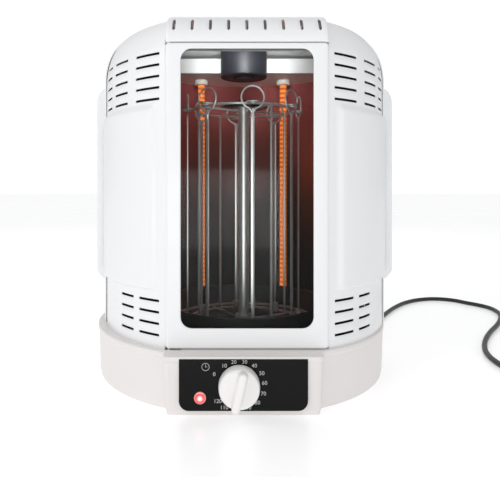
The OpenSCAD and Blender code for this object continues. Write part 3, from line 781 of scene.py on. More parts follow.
class Pattern:
    """A Geometry Nodes tree with named inputs that is run once and baked to a plain mesh."""

    SOCKETS = {
        float: "NodeSocketFloat", int: "NodeSocketInt", bpy.types.Material: "NodeSocketMaterial",
        Piece: "NodeSocketObject"
    }

    def __init__(self, name: str, **inputs: object) -> None:
        """Starts a tree.

        Args:
            name: the tree's name.
            inputs: each input's name and value.
        """
        self.tree = bpy.data.node_groups.new(name, "GeometryNodeTree")
        self.values: dict[str, object] = {}
        self.tree.interface.new_socket("Points", in_out="INPUT", socket_type="NodeSocketGeometry")
        self.tree.interface.new_socket(
            "Geometry", in_out="OUTPUT", socket_type="NodeSocketGeometry"
        )
        for label, value in inputs.items():
            kind = next(k for t, k in self.SOCKETS.items() if isinstance(value, t))
            socket = self.tree.interface.new_socket(label, in_out="INPUT", socket_type=kind)
            self.values[socket.identifier] = value
        self.entry = self.node("NodeGroupInput")
        self.exit = self.node("NodeGroupOutput")

    def node(
        self, kind: str, links: dict[str, object] | None = None, **settings: object
    ) -> bpy.types.Node:
        """Adds a node and wires it.

        Args:
            kind: the node's type name.
            links: for each input's name, a socket to link or a value to set.
            settings: attributes to set on it.

        Returns:
            The node.
        """
        made = self.tree.nodes.new(kind)
        for key, value in settings.items():
            setattr(made, key, value)
        for key, value in (links or {}).items():
            target = made.inputs[key]
            if isinstance(value, Socket):
                self.tree.links.new(value, target)
            else:
                target.default_value = value
        return made

    def given(self, label: str) -> Socket:
        """Returns the named input's socket."""
        return self.entry.outputs[label]

    def math(self, operation: str, a: object, b: object) -> Socket:
        """Adds a sum.

        Args:
            operation: the Math node's operation.
            a: the first socket or value.
            b: the second socket or value.

        Returns:
            The result's socket.
        """
        return self.node("ShaderNodeMath", {0: a, 1: b}, operation=operation).outputs[0]

    def vector(self, x: object = 0.0, y: object = 0.0, z: object = 0.0) -> Socket:
        """Returns a vector of three sockets or values."""
        return self.node("ShaderNodeCombineXYZ", {0: x, 1: y, 2: z}).outputs[0]

    def pipe(self, curve: Socket, radius: object, sides: int = 8) -> Socket:
        """Sweeps a round section along a curve.

        Args:
            curve: the curve's socket.
            radius: the section's radius.
            sides: its sides.

        Returns:
            The mesh's socket.
        """
        section = self.node(
            "GeometryNodeCurvePrimitiveCircle", {"Resolution": sides, "Radius": radius}
        )
        return self.node(
            "GeometryNodeCurveToMesh",
            {"Curve": curve, "Profile Curve": section.outputs[0], "Fill Caps": True}
        ).outputs[0]

    def row(self, count: object, offset: object, start: object = (0.0, 0.0, 0.0)) -> Socket:
        """Lays points in a row.

        Args:
            count: the number of points.
            offset: the step from each to the next.
            start: the first point.

        Returns:
            The points' socket.
        """
        links = {"Count": count, "Start Location": start, "Offset": offset}
        return self.node("GeometryNodeMeshLine", links, mode="OFFSET").outputs[0]

    def arc(self, steps: int) -> Socket:
        """Returns the arc that the inputs radius, start and sweep describe."""
        ends = {"Start Angle": self.given("start"), "Sweep Angle": self.given("sweep")}
        links = {"Resolution": steps, "Radius": self.given("radius"), **ends}
        return self.node("GeometryNodeCurveArc", links).outputs[0]

    def shape(self, label: str) -> Socket:
        """Returns the geometry of a named object input."""
        return self.node(
            "GeometryNodeObjectInfo", {"Object": self.given(label)}
        ).outputs["Geometry"]

    def copies(self, points: Socket, shape: Socket, **more: object) -> Socket:
        """Repeats a shape on points.

        Args:
            points: the points' socket.
            shape: the geometry that is repeated.
            more: further inputs of the node, such as Rotation or Scale.

        Returns:
            The copies' socket.
        """
        links = {"Points": points, "Instance": shape, **more}
        return self.node("GeometryNodeInstanceOnPoints", links).outputs[0]

    def join(self, *parts: Socket) -> Socket:
        """Returns the parts as one geometry."""
        made = self.node("GeometryNodeJoinGeometry")
        for part in parts:
            self.tree.links.new(part, made.inputs[0])
        return made.outputs[0]

    def bake(
        self, name: str, geometry: Socket, points: Sequence[tuple[Point, Vector]] = ()
    ) -> Piece:
        """Ends the tree, runs it and keeps the result as a plain mesh.

        Args:
            name: the piece's name.
            geometry: the socket that holds what the tree makes.
            points: points in mm that the tree starts from, each with the way it faces.

        Returns:
            The piece.
        """
        real = self.node("GeometryNodeRealizeInstances", {0: geometry})
        soft = self.node("GeometryNodeSetShadeSmooth", {0: real.outputs[0]})
        paint = self.node(
            "GeometryNodeSetMaterial", {0: soft.outputs[0], "Material": self.given("finish")}
        )
        self.tree.links.new(paint.outputs[0], self.exit.inputs[0])
        seed = bpy.data.meshes.new(name + "_seed")
        seed.from_pydata([[c * MM for c in place] for place, _ in points], [], [])
        facing = seed.attributes.new("way", "FLOAT_VECTOR", "POINT")
        for spot, (_, way) in zip(facing.data, points):
            spot.vector = way
        host = as_object(name + "_seed", seed)
        grower = host.modifiers.new("pattern", "NODES")
        grower.node_group = self.tree
        for identifier, value in self.values.items():
            grower[identifier] = value
        graph = bpy.context.evaluated_depsgraph_get()
        mesh = bpy.data.meshes.new_from_object(host.evaluated_get(graph))
        bpy.data.objects.remove(host)
        made = as_object(name, mesh)
        made.data.set_sharp_from_angle(angle=math.radians(40))
        return made


# ---------------------------------------------------------------- studio


@dataclass
class Studio:
    """The pale floor, the soft lights and the camera."""

    eye: Point = (-12.8, -578.0, 186.0)
    focal: float = 530.0
    frame: tuple[int, int] = (500, 477)
    centre: Flat = (232.0, 187.3)
    sensor: float = 36.0
    floor_half: float = 14.0
    floor_glow: float = 0.36
    sky_power: float = 0.63
    backdrop_power: float = 1.05

    def camera(self) -> None:
        """Places the camera level, looking along +Y, shifted for the framing."""
        lens = bpy.data.cameras.new("camera")
        lens.sensor_width = self.sensor
        lens.lens = self.focal / self.frame[0] * self.sensor
        lens.shift_x = (self.frame[0] / 2 - self.centre[0]) / self.frame[0]
        lens.shift_y = -(self.frame[1] / 2 - self.centre[1]) / self.frame[0]
        lens.clip_start = 0.02
        made = bpy.data.objects.new("camera", lens)
        made.location = Vector(self.eye) * MM
        made.rotation_euler = (math.radians(90), 0, 0)
        bpy.context.scene.collection.objects.link(made)
        bpy.context.scene.camera = made

    def softbox(
        self, name: str, at: Point, towards: Point, size: Flat, power: float, spread: float = 180
    ) -> None:
        """Adds an area light.

        Args:
            name: the light's name.
            at: its place in metres.
            towards: the point it faces, in metres.
            size: its width and height in metres.
            power: its power in watts.
            spread: the angle of its beam in degrees.
        """
        light = bpy.data.lights.new(name, "AREA")
        light.shape = "RECTANGLE"
        light.size, light.size_y = size
        light.energy = power
        light.spread = math.radians(spread)
        made = bpy.data.objects.new(name, light)
        made.location = at
        made.rotation_euler = (Vector(towards) - Vector(at)).to_track_quat("-Z", "Y").to_euler()
        made.visible_camera = False
        bpy.context.scene.collection.objects.link(made)

    def floor(self) -> None:
        """Adds the pale floor."""
        mesh = bpy.data.meshes.new("floor")
        far = self.floor_half
        mesh.from_pydata(
            [(-far, -far, 0), (far, -far, 0), (far, far, 0), (-far, far, 0)], [], [(0, 1, 2, 3)]
        )
        made = as_object("floor", mesh)
        shader = Shader("pale_floor")
        shader.set(
            Specular_IOR_Level=0.35, Emission_Color=(1.0, 1.0, 1.0, 1.0),
            Emission_Strength=self.floor_glow
        )
        tone = shader.ramp(
            shader.noise(1.5, 2.0), [(0.3, (0.90, 0.90, 0.905)), (0.7, (0.93, 0.93, 0.93))]
        )
        shader.feed("Base Color", tone)
        shader.feed("Roughness", shader.spread(shader.noise(3.0, 2.0), 0.2, 0.26))
        made.data.materials.append(shader.material)

    def build(self) -> None:
        """Builds the studio."""
        self.camera()
        self.floor()
        world = bpy.data.worlds.new("studio")
        world.use_nodes = True
        tree = world.node_tree
        sky = tree.nodes["Background"]
        sky.inputs["Color"].default_value = (0.985, 0.99, 1.0, 1.0)
        sky.inputs["Strength"].default_value = self.sky_power
        backdrop = tree.nodes.new("ShaderNodeBackground")
        backdrop.inputs["Color"].default_value = (1.0, 1.0, 1.0, 1.0)
        backdrop.inputs["Strength"].default_value = self.backdrop_power
        blend = tree.nodes.new("ShaderNodeMixShader")
        seen = tree.nodes.new("ShaderNodeLightPath")
        tree.links.new(seen.outputs["Is Camera Ray"], blend.inputs[0])
        tree.links.new(sky.outputs[0], blend.inputs[1])
        tree.links.new(backdrop.outputs[0], blend.inputs[2])
        tree.links.new(blend.outputs[0], tree.nodes["World Output"].inputs["Surface"])
        bpy.context.scene.world = world
        bpy.context.scene.view_settings.view_transform = "Standard"
        bpy.context.scene.view_settings.look = "None"
        self.softbox("key", (-1.3, -1.1, 1.2), (0, 0, 0.2), (1.0, 1.0), 6.6)
        self.softbox("fill", (1.3, -1.0, 0.8), (0, 0, 0.15), (0.9, 0.9), 0.5)
        self.softbox("front", (-0.1, -1.3, 0.12), (0, 0, 0.22), (0.5, 0.24), 2.0)
        self.softbox(
            "chamber", (0, -0.108, 0.3135), (0, 0.04, 0.325), (0.11, 0.003), 0.036, spread=40
        )
        self.softbox("back", (0.0, 1.5, 1.2), (0, 0, 0.2), (1.2, 0.8), 3.0)
        LOG.info("studio")


# ---------------------------------------------------------------- cord


@dataclass
class SupplyCord:
    """The free supply cord with its gland, coil, tie and plug."""

    radius: float = 3.0
    length: float = 1500.0
    coil: Flat = (318.0, -108.0)
    turn_radii: Flat = (36.0, 30.0)
    route: list[Point] = field(
        default_factory=lambda: [
            (140, 100, 16), (151, 108, 15.6), (161, 116, 13.5), (170, 126, 10), (179, 138, 6),
            (188, 152, 3.6), (199, 171, 3), (218, 203, 3), (240, 236, 3), (266, 266, 3),
            (295, 286, 3),
            (323, 291, 3), (346, 280, 3), (358, 262, 3), (369, 247, 3), (377, 230, 3),
            (378, 208, 3),
            (372, 183, 3), (358, 155, 3), (340, 127, 3), (316, 95, 3), (294, 62, 3), (277, 30, 3),
            (267, 2, 3), (264, -20, 3), (265, -42, 3), (270, -64, 3), (277, -86, 3),
            (282, -108, 3),
        ]
    )
    tail: list[Point] = field(
        default_factory=lambda: [
            (354, -98, 8.6), (353, -88, 7), (352, -78, 5.6), (351, -68, 5), (350, -58, 5),
            (350, -48, 5),
        ]
    )

    def turn_point(self, angle: float) -> Point:
        """Returns the coil's centreline point at an angle in degrees."""
        wide, narrow = self.turn_radii
        r = wide + (narrow - wide) * (ease(500, 540, angle) - ease(1040, 1110, angle))
        z = 3.0 + 6.0 * ease(760, 850, angle)
        a = math.radians(angle)
        return (self.coil[0] + r * math.cos(a), self.coil[1] + r * math.sin(a), z)

    def lead(self) -> Piece:
        """Returns the cord as one curve along its whole centreline."""
        turns = [self.turn_point(a) for a in range(200, 1441, 20)]
        points = self.route + turns + self.tail
        curve = bpy.data.curves.new("supply_lead", "CURVE")
        curve.dimensions = "3D"
        curve.bevel_depth = self.radius * MM
        curve.bevel_resolution = 4
        curve.use_fill_caps = True
        curve.resolution_u = 4
        spline = curve.splines.new("BEZIER")
        spline.bezier_points.add(len(points) - 1)
        for knot, point in zip(spline.bezier_points, points):
            knot.co = Vector(point) * MM
            knot.handle_left_type = knot.handle_right_type = "AUTO"
        made = bpy.data.objects.new("supply_lead", curve)
        bpy.context.scene.collection.objects.link(made)
        return made

    def ribs(
        self, name: str, start: Vector, way: Vector, count: int, first: float, last: float,
        step: float
    ) -> Piece:
        """Makes the ribs of a strain relief.

        Args:
            name: the piece's name.
            start: the first rib's centre in mm.
            way: the direction along the relief.
            count: the number of ribs.
            first: the first rib's radius in mm.
            last: the last rib's radius in mm.
            step: the distance between ribs in mm.

        Returns:
            The ribs as one mesh.
        """
        tree = Pattern(
            name + "_tree", count=count, first=first * MM, last=last * MM, step=step * MM,
            finish=PLUG_PLASTIC.material()
        )
        row = tree.row(tree.given("count"), tree.vector(z=tree.given("step")))
        circle = tree.node("GeometryNodeCurvePrimitiveCircle", {"Resolution": 28, "Radius": 1.0})
        rib = tree.pipe(circle.outputs[0], 0.12, 6)
        number = tree.node("GeometryNodeInputIndex").outputs[0]
        share = tree.math("DIVIDE", number, tree.math("SUBTRACT", tree.given("count"), 1.0))
        change = tree.math("SUBTRACT", tree.given("last"), tree.given("first"))
        size = tree.math("ADD", tree.given("first"), tree.math("MULTIPLY", share, change))
        made = tree.bake(name, tree.copies(row, rib, Scale=tree.vector(size, size, size)))
        made.data.transform(
            Matrix.Translation(start * MM) @ way.to_track_quat("Z", "Y").to_matrix().to_4x4()
        )
        return made

    def build(self) -> None:
        """Builds the cord and what is on it."""
        plug = carry(Body.CASING, PLUG_PLASTIC, "plug_body", 1.6)
        blades = carry(Body.CASING, BLADE_BRASS, "plug_pins", 0.4)
        relief = self.ribs("plug_ribs", Vector((350, -62, 5)), Vector((0, 1, 0)), 5, 3.9, 4.6, 2.8)
        fit(relief, Body.CASING)
        tie = carry(Body.CASING, BLACK_PLASTIC, "cord_tie", 0.5)
        gland = carry(Body.CASING, PLUG_PLASTIC, "cord_gland", 0.5)
        a = math.radians(35)
        way = Vector((math.cos(a), math.sin(a), 0))
        grooves = self.ribs(
            "gland_ribs", Vector((-3.5, 0, 16)) + way * 153.5, way, 6, 5.6, 4.1, 4.0
        )
        fit(grooves, Body.CASING)
        lead = self.lead()
        lead.data.materials.append(CORD_SHEATH.material())
        fit(lead, Body.CASING, None, ["power_cord", "cord_coil"])


# ---------------------------------------------------------------- base


@dataclass
class Base:
    """The moulded base with its control box, fascia, dial and lamp."""

    shift: float = -3.5
    radius: float = 149.2
    box_half: float = 65.2
    face: float = 147.0
    top: float = 48.5
    corner: float = 4.0
    well: float = 96.0
    lamp: Flat = (-38.7, 15.4)
    clock: Flat = (-34.3, 40.4)
    digit: float = 4.5

    def outline(self, inset: float, z: float) -> list[Point]:
        """Returns the plan outline of drum and box.

        Args:
            inset: how far inside the wall it runs, in mm.
            z: its height in mm.

        Returns:
            The points, counterclockwise from the right-hand junction.
        """
        r, half, front = self.radius - inset, self.box_half - inset, -self.face + inset
        start = math.atan2(-math.sqrt(r * r - half * half), half)
        end = math.pi - start
        turns = [start + (end - start) * k / 128 for k in range(129)]
        plan = [(r * math.cos(a), r * math.sin(a)) for a in turns]
        c = self.corner
        for middle, first in ((-half + c, math.pi), (half - c, 1.5 * math.pi)):
            for k in range(7):
                a = first + math.pi / 2 * k / 6
                plan.append((middle + c * math.cos(a), front + c + c * math.sin(a)))
        return [(x + self.shift, y, z) for x, y in plan]

    def hole(self, z: float) -> list[Point]:
        """Returns the well's edge at a height, point for point with the outline."""
        made = []
        for x, y, _ in self.outline(0, z):
            a = math.atan2(y, x)
            made.append((self.well * math.cos(a), self.well * math.sin(a), z))
        return made

    def housing(self) -> Piece:
        """Returns the moulded housing."""
        levels = [
            (3.4, 4.0), (0.0, 4.0), (0.0, 1.9), (2.4, 1.8), (3.0, 1.7), (3.5, 1.25), (4.6, 1.14),
            (12, 0.95),
            (24, 0.6), (36, 0.25), (43.4, 0.05), (43.8, -0.25), (44.2, -0.66), (44.8, -0.8),
            (47.0, -0.8),
            (47.9, -0.55), (48.4, 0.1), (48.5, 0.9), (48.5, 6.0),
        ]
        loops = [self.outline(inset, z) for z, inset in levels]
        loops += [
            self.hole(self.top), self.hole(self.top - 2.5), self.outline(6.0, 46.0),
            self.outline(2.6, 45.2), self.outline(3.4, 4.5)
        ]
        work = bmesh.new()
        add_rings(work, loops, join_ends=True)
        return finished(work, "base_moulding")

    def label(self, text: str, x: float, z: float, size: float) -> bpy.types.Mesh:
        """Returns a number as a mesh centred on a point of the fascia.

        Args:
            text: the number.
            x: the centre's x in mm.
            z: the centre's height in mm.
            size: the letter size in mm.

        Returns:
            The mesh.
        """
        words = bpy.data.curves.new("number", "FONT")
        words.body = text
        words.size = size * MM
        words.align_x = "CENTER"
        words.align_y = "CENTER"
        words.extrude = 0.04 * MM
        words.resolution_u = 3
        host = bpy.data.objects.new("number", words)
        bpy.context.scene.collection.objects.link(host)
        mesh = bpy.data.meshes.new_from_object(
            host.evaluated_get(bpy.context.evaluated_depsgraph_get())
        )
        bpy.data.objects.remove(host)
        mesh.transform(Matrix.Translation((x * MM, (-self.face - 1.52) * MM, z * MM)) @ UPRIGHT)
        return mesh

    def dial_print(self) -> Piece:
        """Returns the printed numbers, the off mark and the clock sign."""
        spots = {
            "0": (-27.2, 34.4), "10": (-19.1, 41.2), "20": (-11.3, 44.3), "30": (-2.6, 44.3),
            "40": (5.3, 41.3),
            "50": (11.4, 35.2), "60": (13.6, 27.3), "70": (12.7, 18.7), "80": (7.9, 11.4),
            "90": (0.6, 7.3),
            "110": (-19.2, 7.4), "120": (-24.4, 12.6),
        }
        work = bmesh.new()
        for text, (x, z) in spots.items():
            work.from_mesh(self.label(text, x, z, self.digit))
        y = -self.face - 1.55
        cx, cz = self.clock
        rim = ring(3.0, 40)
        add_tube(work, [(cx + x, y, cz + z) for x, z, _ in rim + rim[:1]], 0.22, 6)
        for tip in ((cx, y, cz + 2.0), (cx + 1.4, y, cz)):
            add_tube(work, [(cx, y, cz), tip], 0.2, 6)
        return finished(work, "dial_numbers", merge=0.0005)

    def build(self) -> None:
        """Builds the base."""
        fit(self.housing(), Body.CASING, BASE_PLASTIC, ["base_housing"])
        carry(Body.CASING, FASCIA_BLACK, "control_fascia", 0.35)
        fit(self.dial_print(), Body.CASING, DIAL_PRINT)
        x, z = self.lamp
        facing = Matrix.Translation((x * MM, (-self.face - 1.5) * MM, z * MM)) @ UPRIGHT
        middle = (x * MM, (-self.face - 3.2) * MM, z * MM)
        glow = LampLens("lens_red", (0.6, 0.03, 0.03), rough=0.18, centre=middle, radius=4.9 * MM)
        edge = [
            (0, -1.2), (3.8, -1.2), (3.8, 0), (4.9, 0), (4.9, 1.0), (4.6, 1.5), (4.0, 1.62),
            (3.7, 1.5), (3.3, 1.7), (2.0, 2.2), (0, 2.4)
        ]
        fit(
            turned("lamp_lens", edge, 48, facing), Body.CASING, glow,
            ["indicator_lens"]
        )
        carry(Body.CASING, PLATED_STEEL, "bottom_plate", 0.3)
        carry(Body.CASING, RUBBER, "feet", 0.4)


@dataclass
class Timer:
    """The timer knob."""

    centre: Flat = (-7.0, 25.9)
    back: float = -149.0
    tilt: float = 13.0

    def knob(self) -> Piece:
        """Returns the knob: a domed skirt with a tapered grip bar."""
        rim = [
            (0, 0.3), (16.0, 0.3), (16.6, 0.7), (16.75, 1.6), (16.7, 6), (16.4, 9.3), (15.8, 10.9),
            (14.6, 11.7), (12, 12.05), (6, 12.2), (0, 12.25)
        ]
        work = bmesh.new()
        add_rings(work, [ring(max(r, 0.01), 72, depth) for r, depth in rim], caps=True)
        bar = []
        sections = [
            (10.5, 4.7, 15.6), (12.4, 4.5, 15.6), (13.2, 4.0, 15.7), (16.5, 3.6, 15.9),
            (19.3, 3.25, 15.9), (20.2, 2.8, 15.5), (20.7, 2.0, 14.8), (20.85, 0.9, 13.8)
        ]
        for depth, half, reach in sections:
            loop = []
            for k in range(40):
                a = math.tau * k / 40
                shift = (reach - half) * (1 if math.sin(a) >= 0 else -1)
                loop.append((half * math.cos(a), half * math.sin(a) + shift, depth))
            bar.append(loop)
        add_rings(work, bar, caps=True)
        place = (
            Matrix.Translation((self.centre[0] * MM, self.back * MM, self.centre[1] * MM))
            @ UPRIGHT
            @ Matrix.Rotation(-math.radians(self.tilt), 4, "Z")
        )
        bmesh.ops.transform(work, matrix=place, verts=work.verts)
        return finished(work, "knob_moulding")

    def build(self) -> None:
        """Builds the timer."""
        fit(self.knob(), Body.TIMER, KNOB_PLASTIC, ["timer_knob"])
        carry(Body.TIMER, BRIGHT_STEEL, "timer_shaft", 0.3)


# ---------------------------------------------------------------- casing


@dataclass
class Casing:
    """The steel casing: front shells, roof panel, rear shell, side grips and screws."""

    radius: float = 145.0
    rear_radius: float = 147.0
    top: float = 341.5
    shoulder: Flat = (29.0, 45.0)
    crown: float = 3.0
    low: float = 48.5
    half_gap: float = 70.1
    seam: float = 35.08
    lap: float = 5.0
    hem: float = 1.4
    slot: float = 2.5
    upper: Rows = (301.2, -9.8, 5)
    lower: Rows = (59.1, 9.8, 4)
    columns: tuple = ((31.2, 42.8), (47.8, 58.3), (61.8, 71.0))
    low_columns: tuple = ((31.3, 40.9), (44.0, 52.3))
    rear_columns: tuple = ((125.0, 137.0), (141.0, 153.0), (157.0, 169.0))
    bulge: float = 3.5
    bulge_heights: Flat = (97.3, 259.5)
    bulge_angles: Flat = (31.8, 75.3)
    front: float = -130.46
    roof_low: float = 309.25
    roof_back: float = -36.6
    roof_half: float = 69.5

    def rows(self, spec: Rows) -> list[float]:
        """Returns the heights of a set of slot rows."""
        first, step, count = spec
        return [first + step * k for k in range(count)]

    def profile(self, radius: float, top: float, inner: float) -> list[Flat]:
        """Returns the dome's edge.

        Args:
            radius: the wall's radius in mm.
            top: the crown's height in mm.
            inner: where it stops, as a radius in mm.

        Returns:
            Radius and height pairs from the base up.
        """
        width, height = self.shoulder
        bend = top - self.crown - height
        marks = [self.low, bend, self.bulge_heights[0] - 0.1, self.bulge_heights[1] + 0.5]
        for z in self.rows(self.upper) + self.rows(self.lower):
            marks += [z - self.slot / 2, z + self.slot / 2]
        marks += [self.bulge_heights[0] + d for d in (0.5, 1.0, 1.6, 2.4, 4, 7, 11)]
        marks += [self.bulge_heights[1] - d for d in (1, 2.2, 3.6, 5, 6.5, 8, 11, 15)]
        made = []
        for z in lines(marks, 6.0):
            lift = max(0.0, z - bend) / height
            made.append((radius - width + width * math.sqrt(max(0.0, 1 - lift * lift)), z))
        start = math.degrees(
            math.asin((made[-1][1] - bend) / height)
        ) if made[-1][1] > bend else 0.0
        for k in range(1, 17):
            a = math.radians(start + (90 - start) * k / 16)
            made.append((radius - width + width * math.cos(a), bend + height * math.sin(a)))
        flat = radius - width
        for k in range(1, 15):
            r = flat + (inner - flat) * k / 14
            made.append((r, top - self.crown * (r / flat) ** 2))
        return made

    def relief(self, angle: float, z: float) -> float:
        """Returns how far the embossing stands out.

        Args:
            angle: degrees from the front.
            z: height in mm.

        Returns:
            The height of the embossing in mm.
        """
        first, last = self.bulge_angles
        low, high = self.bulge_heights
        reach = (last - angle) * math.pi / 180 * self.radius
        bend = 13.0
        cut = bend - math.sqrt(max(0.0, bend * bend - max(0.0, bend - max(reach, 0.0)) ** 2))
        rise = ease(first, first + 2.6, angle) * (1 - ease(last, last + 0.4, angle))
        made = self.bulge * rise * ease(low + cut, low + cut + 2.0, z) * (
            1 - ease(high - cut - 8.0, high - cut, z)
        )
        for row in self.rows(self.lower):
            if abs(z - row) < 1.3:
                made += 0.5 * ease(54.0, 55.5, angle) * (1 - ease(70.0, 72.0, angle))
        return made

    def in_slot(self, angle: float, z: float, columns: Sequence[Flat], rows: Rows) -> bool:
        """Says whether a cell's middle lies in a slot.

        Args:
            angle: degrees from the front.
            z: height in mm.
            columns: the slot columns.
            rows: the slot rows.

        Returns:
            True inside a slot.
        """
        return any(a < angle < b for a, b in columns) and any(
            abs(z - row) < self.slot / 2 for row in self.rows(rows)
        )

    def front_shell(self, side: Side) -> Piece:
        """Returns one front shell with its slots and embossed panel."""
        top = self.top - 1.5
        stop = math.hypot(self.half_gap, self.seam - self.lap) + 0.1
        edge = self.profile(self.radius, top, stop)
        first = math.degrees(math.asin(self.half_gap / self.radius))
        last = math.degrees(math.acos((self.seam - self.lap) / self.radius))
        marks = [
            first, first + 0.4, 30.4, last, 31.8, 32.5, 33.1, 33.8, 34.4, 73.5, 74.4, 75.0, 75.3,
            75.5, 75.7
        ]
        for a, b in self.columns + self.low_columns:
            marks += [a, b]
        angles = lines(marks, 1.5)
        rows = []
        for r, z in edge:
            a0 = math.degrees(math.asin(min(1.0, self.half_gap / r)))
            a1 = math.degrees(math.acos((self.seam - self.lap) / r))
            row = []
            for angle in angles:
                share = (angle - first) / (last - first)
                out = self.relief(angle, z) if z < 300 else 0.0
                out -= 1.1 * max(0.0, (30.4 - angle) / (30.4 - first)) ** 2 if z < 300 else 0.0
                x, y, _ = around(r + out, a0 + (a1 - a0) * share)
                row.append((side.value * x, y, z))
            rows.append(row)

        def open_cell(i: int, j: int) -> bool:
            """Says whether the cell is part of a slot."""
            z = (edge[i][1] + edge[i + 1][1]) / 2
            angle = (angles[j] + angles[j + 1]) / 2
            return self.in_slot(angle, z, self.columns, self.upper) or self.in_slot(
                angle, z, self.low_columns, self.lower
            )

        made = sheet_grid(f"front_shell_{side.name.lower()}_sheet", rows, open_cell)
        return soften(thicken(made, 1.0), 0.22, 1, 50)

    def rear_shell(self) -> Piece:
        """Returns the rear shell with its slots."""
        edge = self.profile(self.rear_radius, self.top, 0.0)
        first = math.degrees(math.acos(self.seam / self.rear_radius))
        marks = [first, 360 - first]
        for a, b in self.rear_columns:
            marks += [a, b, 360 - a, 360 - b]
        angles = lines(marks, 2.0)
        rows = []
        for r, z in edge:
            a0 = math.degrees(math.acos(self.seam / r)) if r > self.seam else 0.0
            row = []
            for angle in angles:
                share = (angle - first) / (360 - 2 * first)
                row.append(around(r, a0 + (360 - 2 * a0) * share, z))
            if r > self.half_gap:
                k = min(max(edge.index((r, z)), 1), len(edge) - 2)
                dr, dz = edge[k + 1][0] - edge[k - 1][0], edge[k + 1][1] - edge[k - 1][1]
                size = math.hypot(dr, dz)
                shrink, drop = 1 - self.hem * dz / size / r, self.hem * dr / size
                ends = [(x * shrink, y * shrink, z + drop) for x, y, z in (row[0], row[-1])]
            else:
                ends = [row[0], row[-1]]
            rows.append([ends[0]] + row + [ends[1]])

        def open_cell(i: int, j: int) -> bool:
            """Says whether the cell is part of a slot."""
            if j == 0 or j == len(angles):
                return False
            z = (edge[i][1] + edge[i + 1][1]) / 2
            angle = (angles[j - 1] + angles[j]) / 2
            angle = min(angle, 360 - angle)
            return self.in_slot(
                angle, z, self.rear_columns, self.upper
            ) or self.in_slot(angle, z, self.rear_columns, self.lower)

        return soften(thicken(sheet_grid("rear_shell_sheet", rows, open_cell), 1.0), 0.22, 1, 50)

    def slot_lips(self, name: str, sets: Sequence[tuple[float, float, float, Rows]]) -> Piece:
        """Makes the rolled lips of the slots.

        Args:
            name: the piece's name.
            sets: for each column, its wall radius, its first and last angle and its rows.

        Returns:
            The lips as one mesh.
        """
        joined = bmesh.new()
        for radius, first, last, (z, step, count) in sets:
            tree = Pattern(
                "slot_lips", radius=(radius - 0.2) * MM, start=math.radians(FACING + first),
                sweep=math.radians(last - first),
                first_row=z * MM, pitch=step * MM, rows=count, lip=0.22 * MM,
                height=self.slot * MM, finish=CASING_PAINT.material(),
            )
            lip = tree.pipe(tree.arc(14), tree.given("lip"), 6)
            half = tree.math("MULTIPLY", tree.given("height"), 0.5)
            pair = []
            for sign in ("ADD", "SUBTRACT"):
                first_lip = tree.vector(z=tree.math(sign, tree.given("first_row"), half))
                row = tree.row(tree.given("rows"), tree.vector(z=tree.given("pitch")), first_lip)
                pair.append(tree.copies(row, lip))
            part = tree.bake(name + "_part", tree.join(*pair))
            joined.from_mesh(part.data)
            bpy.data.objects.remove(part)
        return finished(joined, name, merge=0.0001)

    def roof_panel(self) -> Piece:
        """Returns the roof panel with its nine vents and its folded cheeks."""
        run, low = 45.5, self.roof_low + 1.4
        rise = self.top - low
        vent_low, vent_high, half, pitch = 319.6, 332.0, 1.3, 15.6
        marks = [
            math.degrees(math.asin((z - low) / rise))
            for z in (vent_low, vent_low + 0.7, vent_high - 0.7, vent_high)
        ]
        side = [
            (self.front + 7.0, self.roof_low + 0.2, 0.0), (self.front + 0.6, self.roof_low, 0.0),
            (self.front, self.roof_low + 0.5, 0.0)
        ]
        for t in lines([0, 90] + marks, 4.0):
            a = math.radians(t)
            side.append((self.front + run - run * math.cos(a), low + rise * math.sin(a), t))
        for k in range(1, 7):
            side.append(
                (self.front + run + (self.roof_back - self.front - run) * k / 6, self.top, 90.0)
            )
        bend = 2.6
        marks = [-self.roof_half + bend, self.roof_half - bend]
        for k in range(-4, 5):
            marks += [k * pitch - half, k * pitch - 0.75, k * pitch + 0.75, k * pitch + half]
        across = [(x, 0.0) for x in lines(marks, 5.0)]
        fold = [
            (bend * math.sin(math.radians(a)), bend * (1 - math.cos(math.radians(a))))
            for a in (18, 36, 54, 72, 90)
        ] + [(bend, 5.0), (bend, 8.5)]
        right = [(self.roof_half - bend + dx, d) for dx, d in fold]
        left = [(-x, d) for x, d in reversed(right)]
        across = left + across + right
        rows = []
        for y, z, t in side:
            ny, nz = -math.cos(math.radians(t)) / run, math.sin(math.radians(t)) / rise
            scale = math.hypot(ny, nz)
            row = []
            for x, d in across:
                row.append((x, y - ny / scale * d, max(z - nz / scale * d, self.roof_low)))
            rows.append(row)

        def open_cell(i: int, j: int) -> bool:
            """Says whether the cell is part of a vent."""
            x = (across[j][0] + across[j + 1][0]) / 2
            z = (side[i][1] + side[i + 1][1]) / 2
            if across[j][1] > 0 or across[j + 1][1] > 0:
                return False
            off = abs(x - pitch * round(x / pitch))
            wide = half if vent_low + 0.7 < z < vent_high - 0.7 else 0.75
            return vent_low < z < vent_high and off < wide

        made = sheet_grid("roof_sheet", rows, open_cell, (0.0, -60.0, 250.0))
        return soften(thicken(made, 1.0), 0.2, 1, 50)

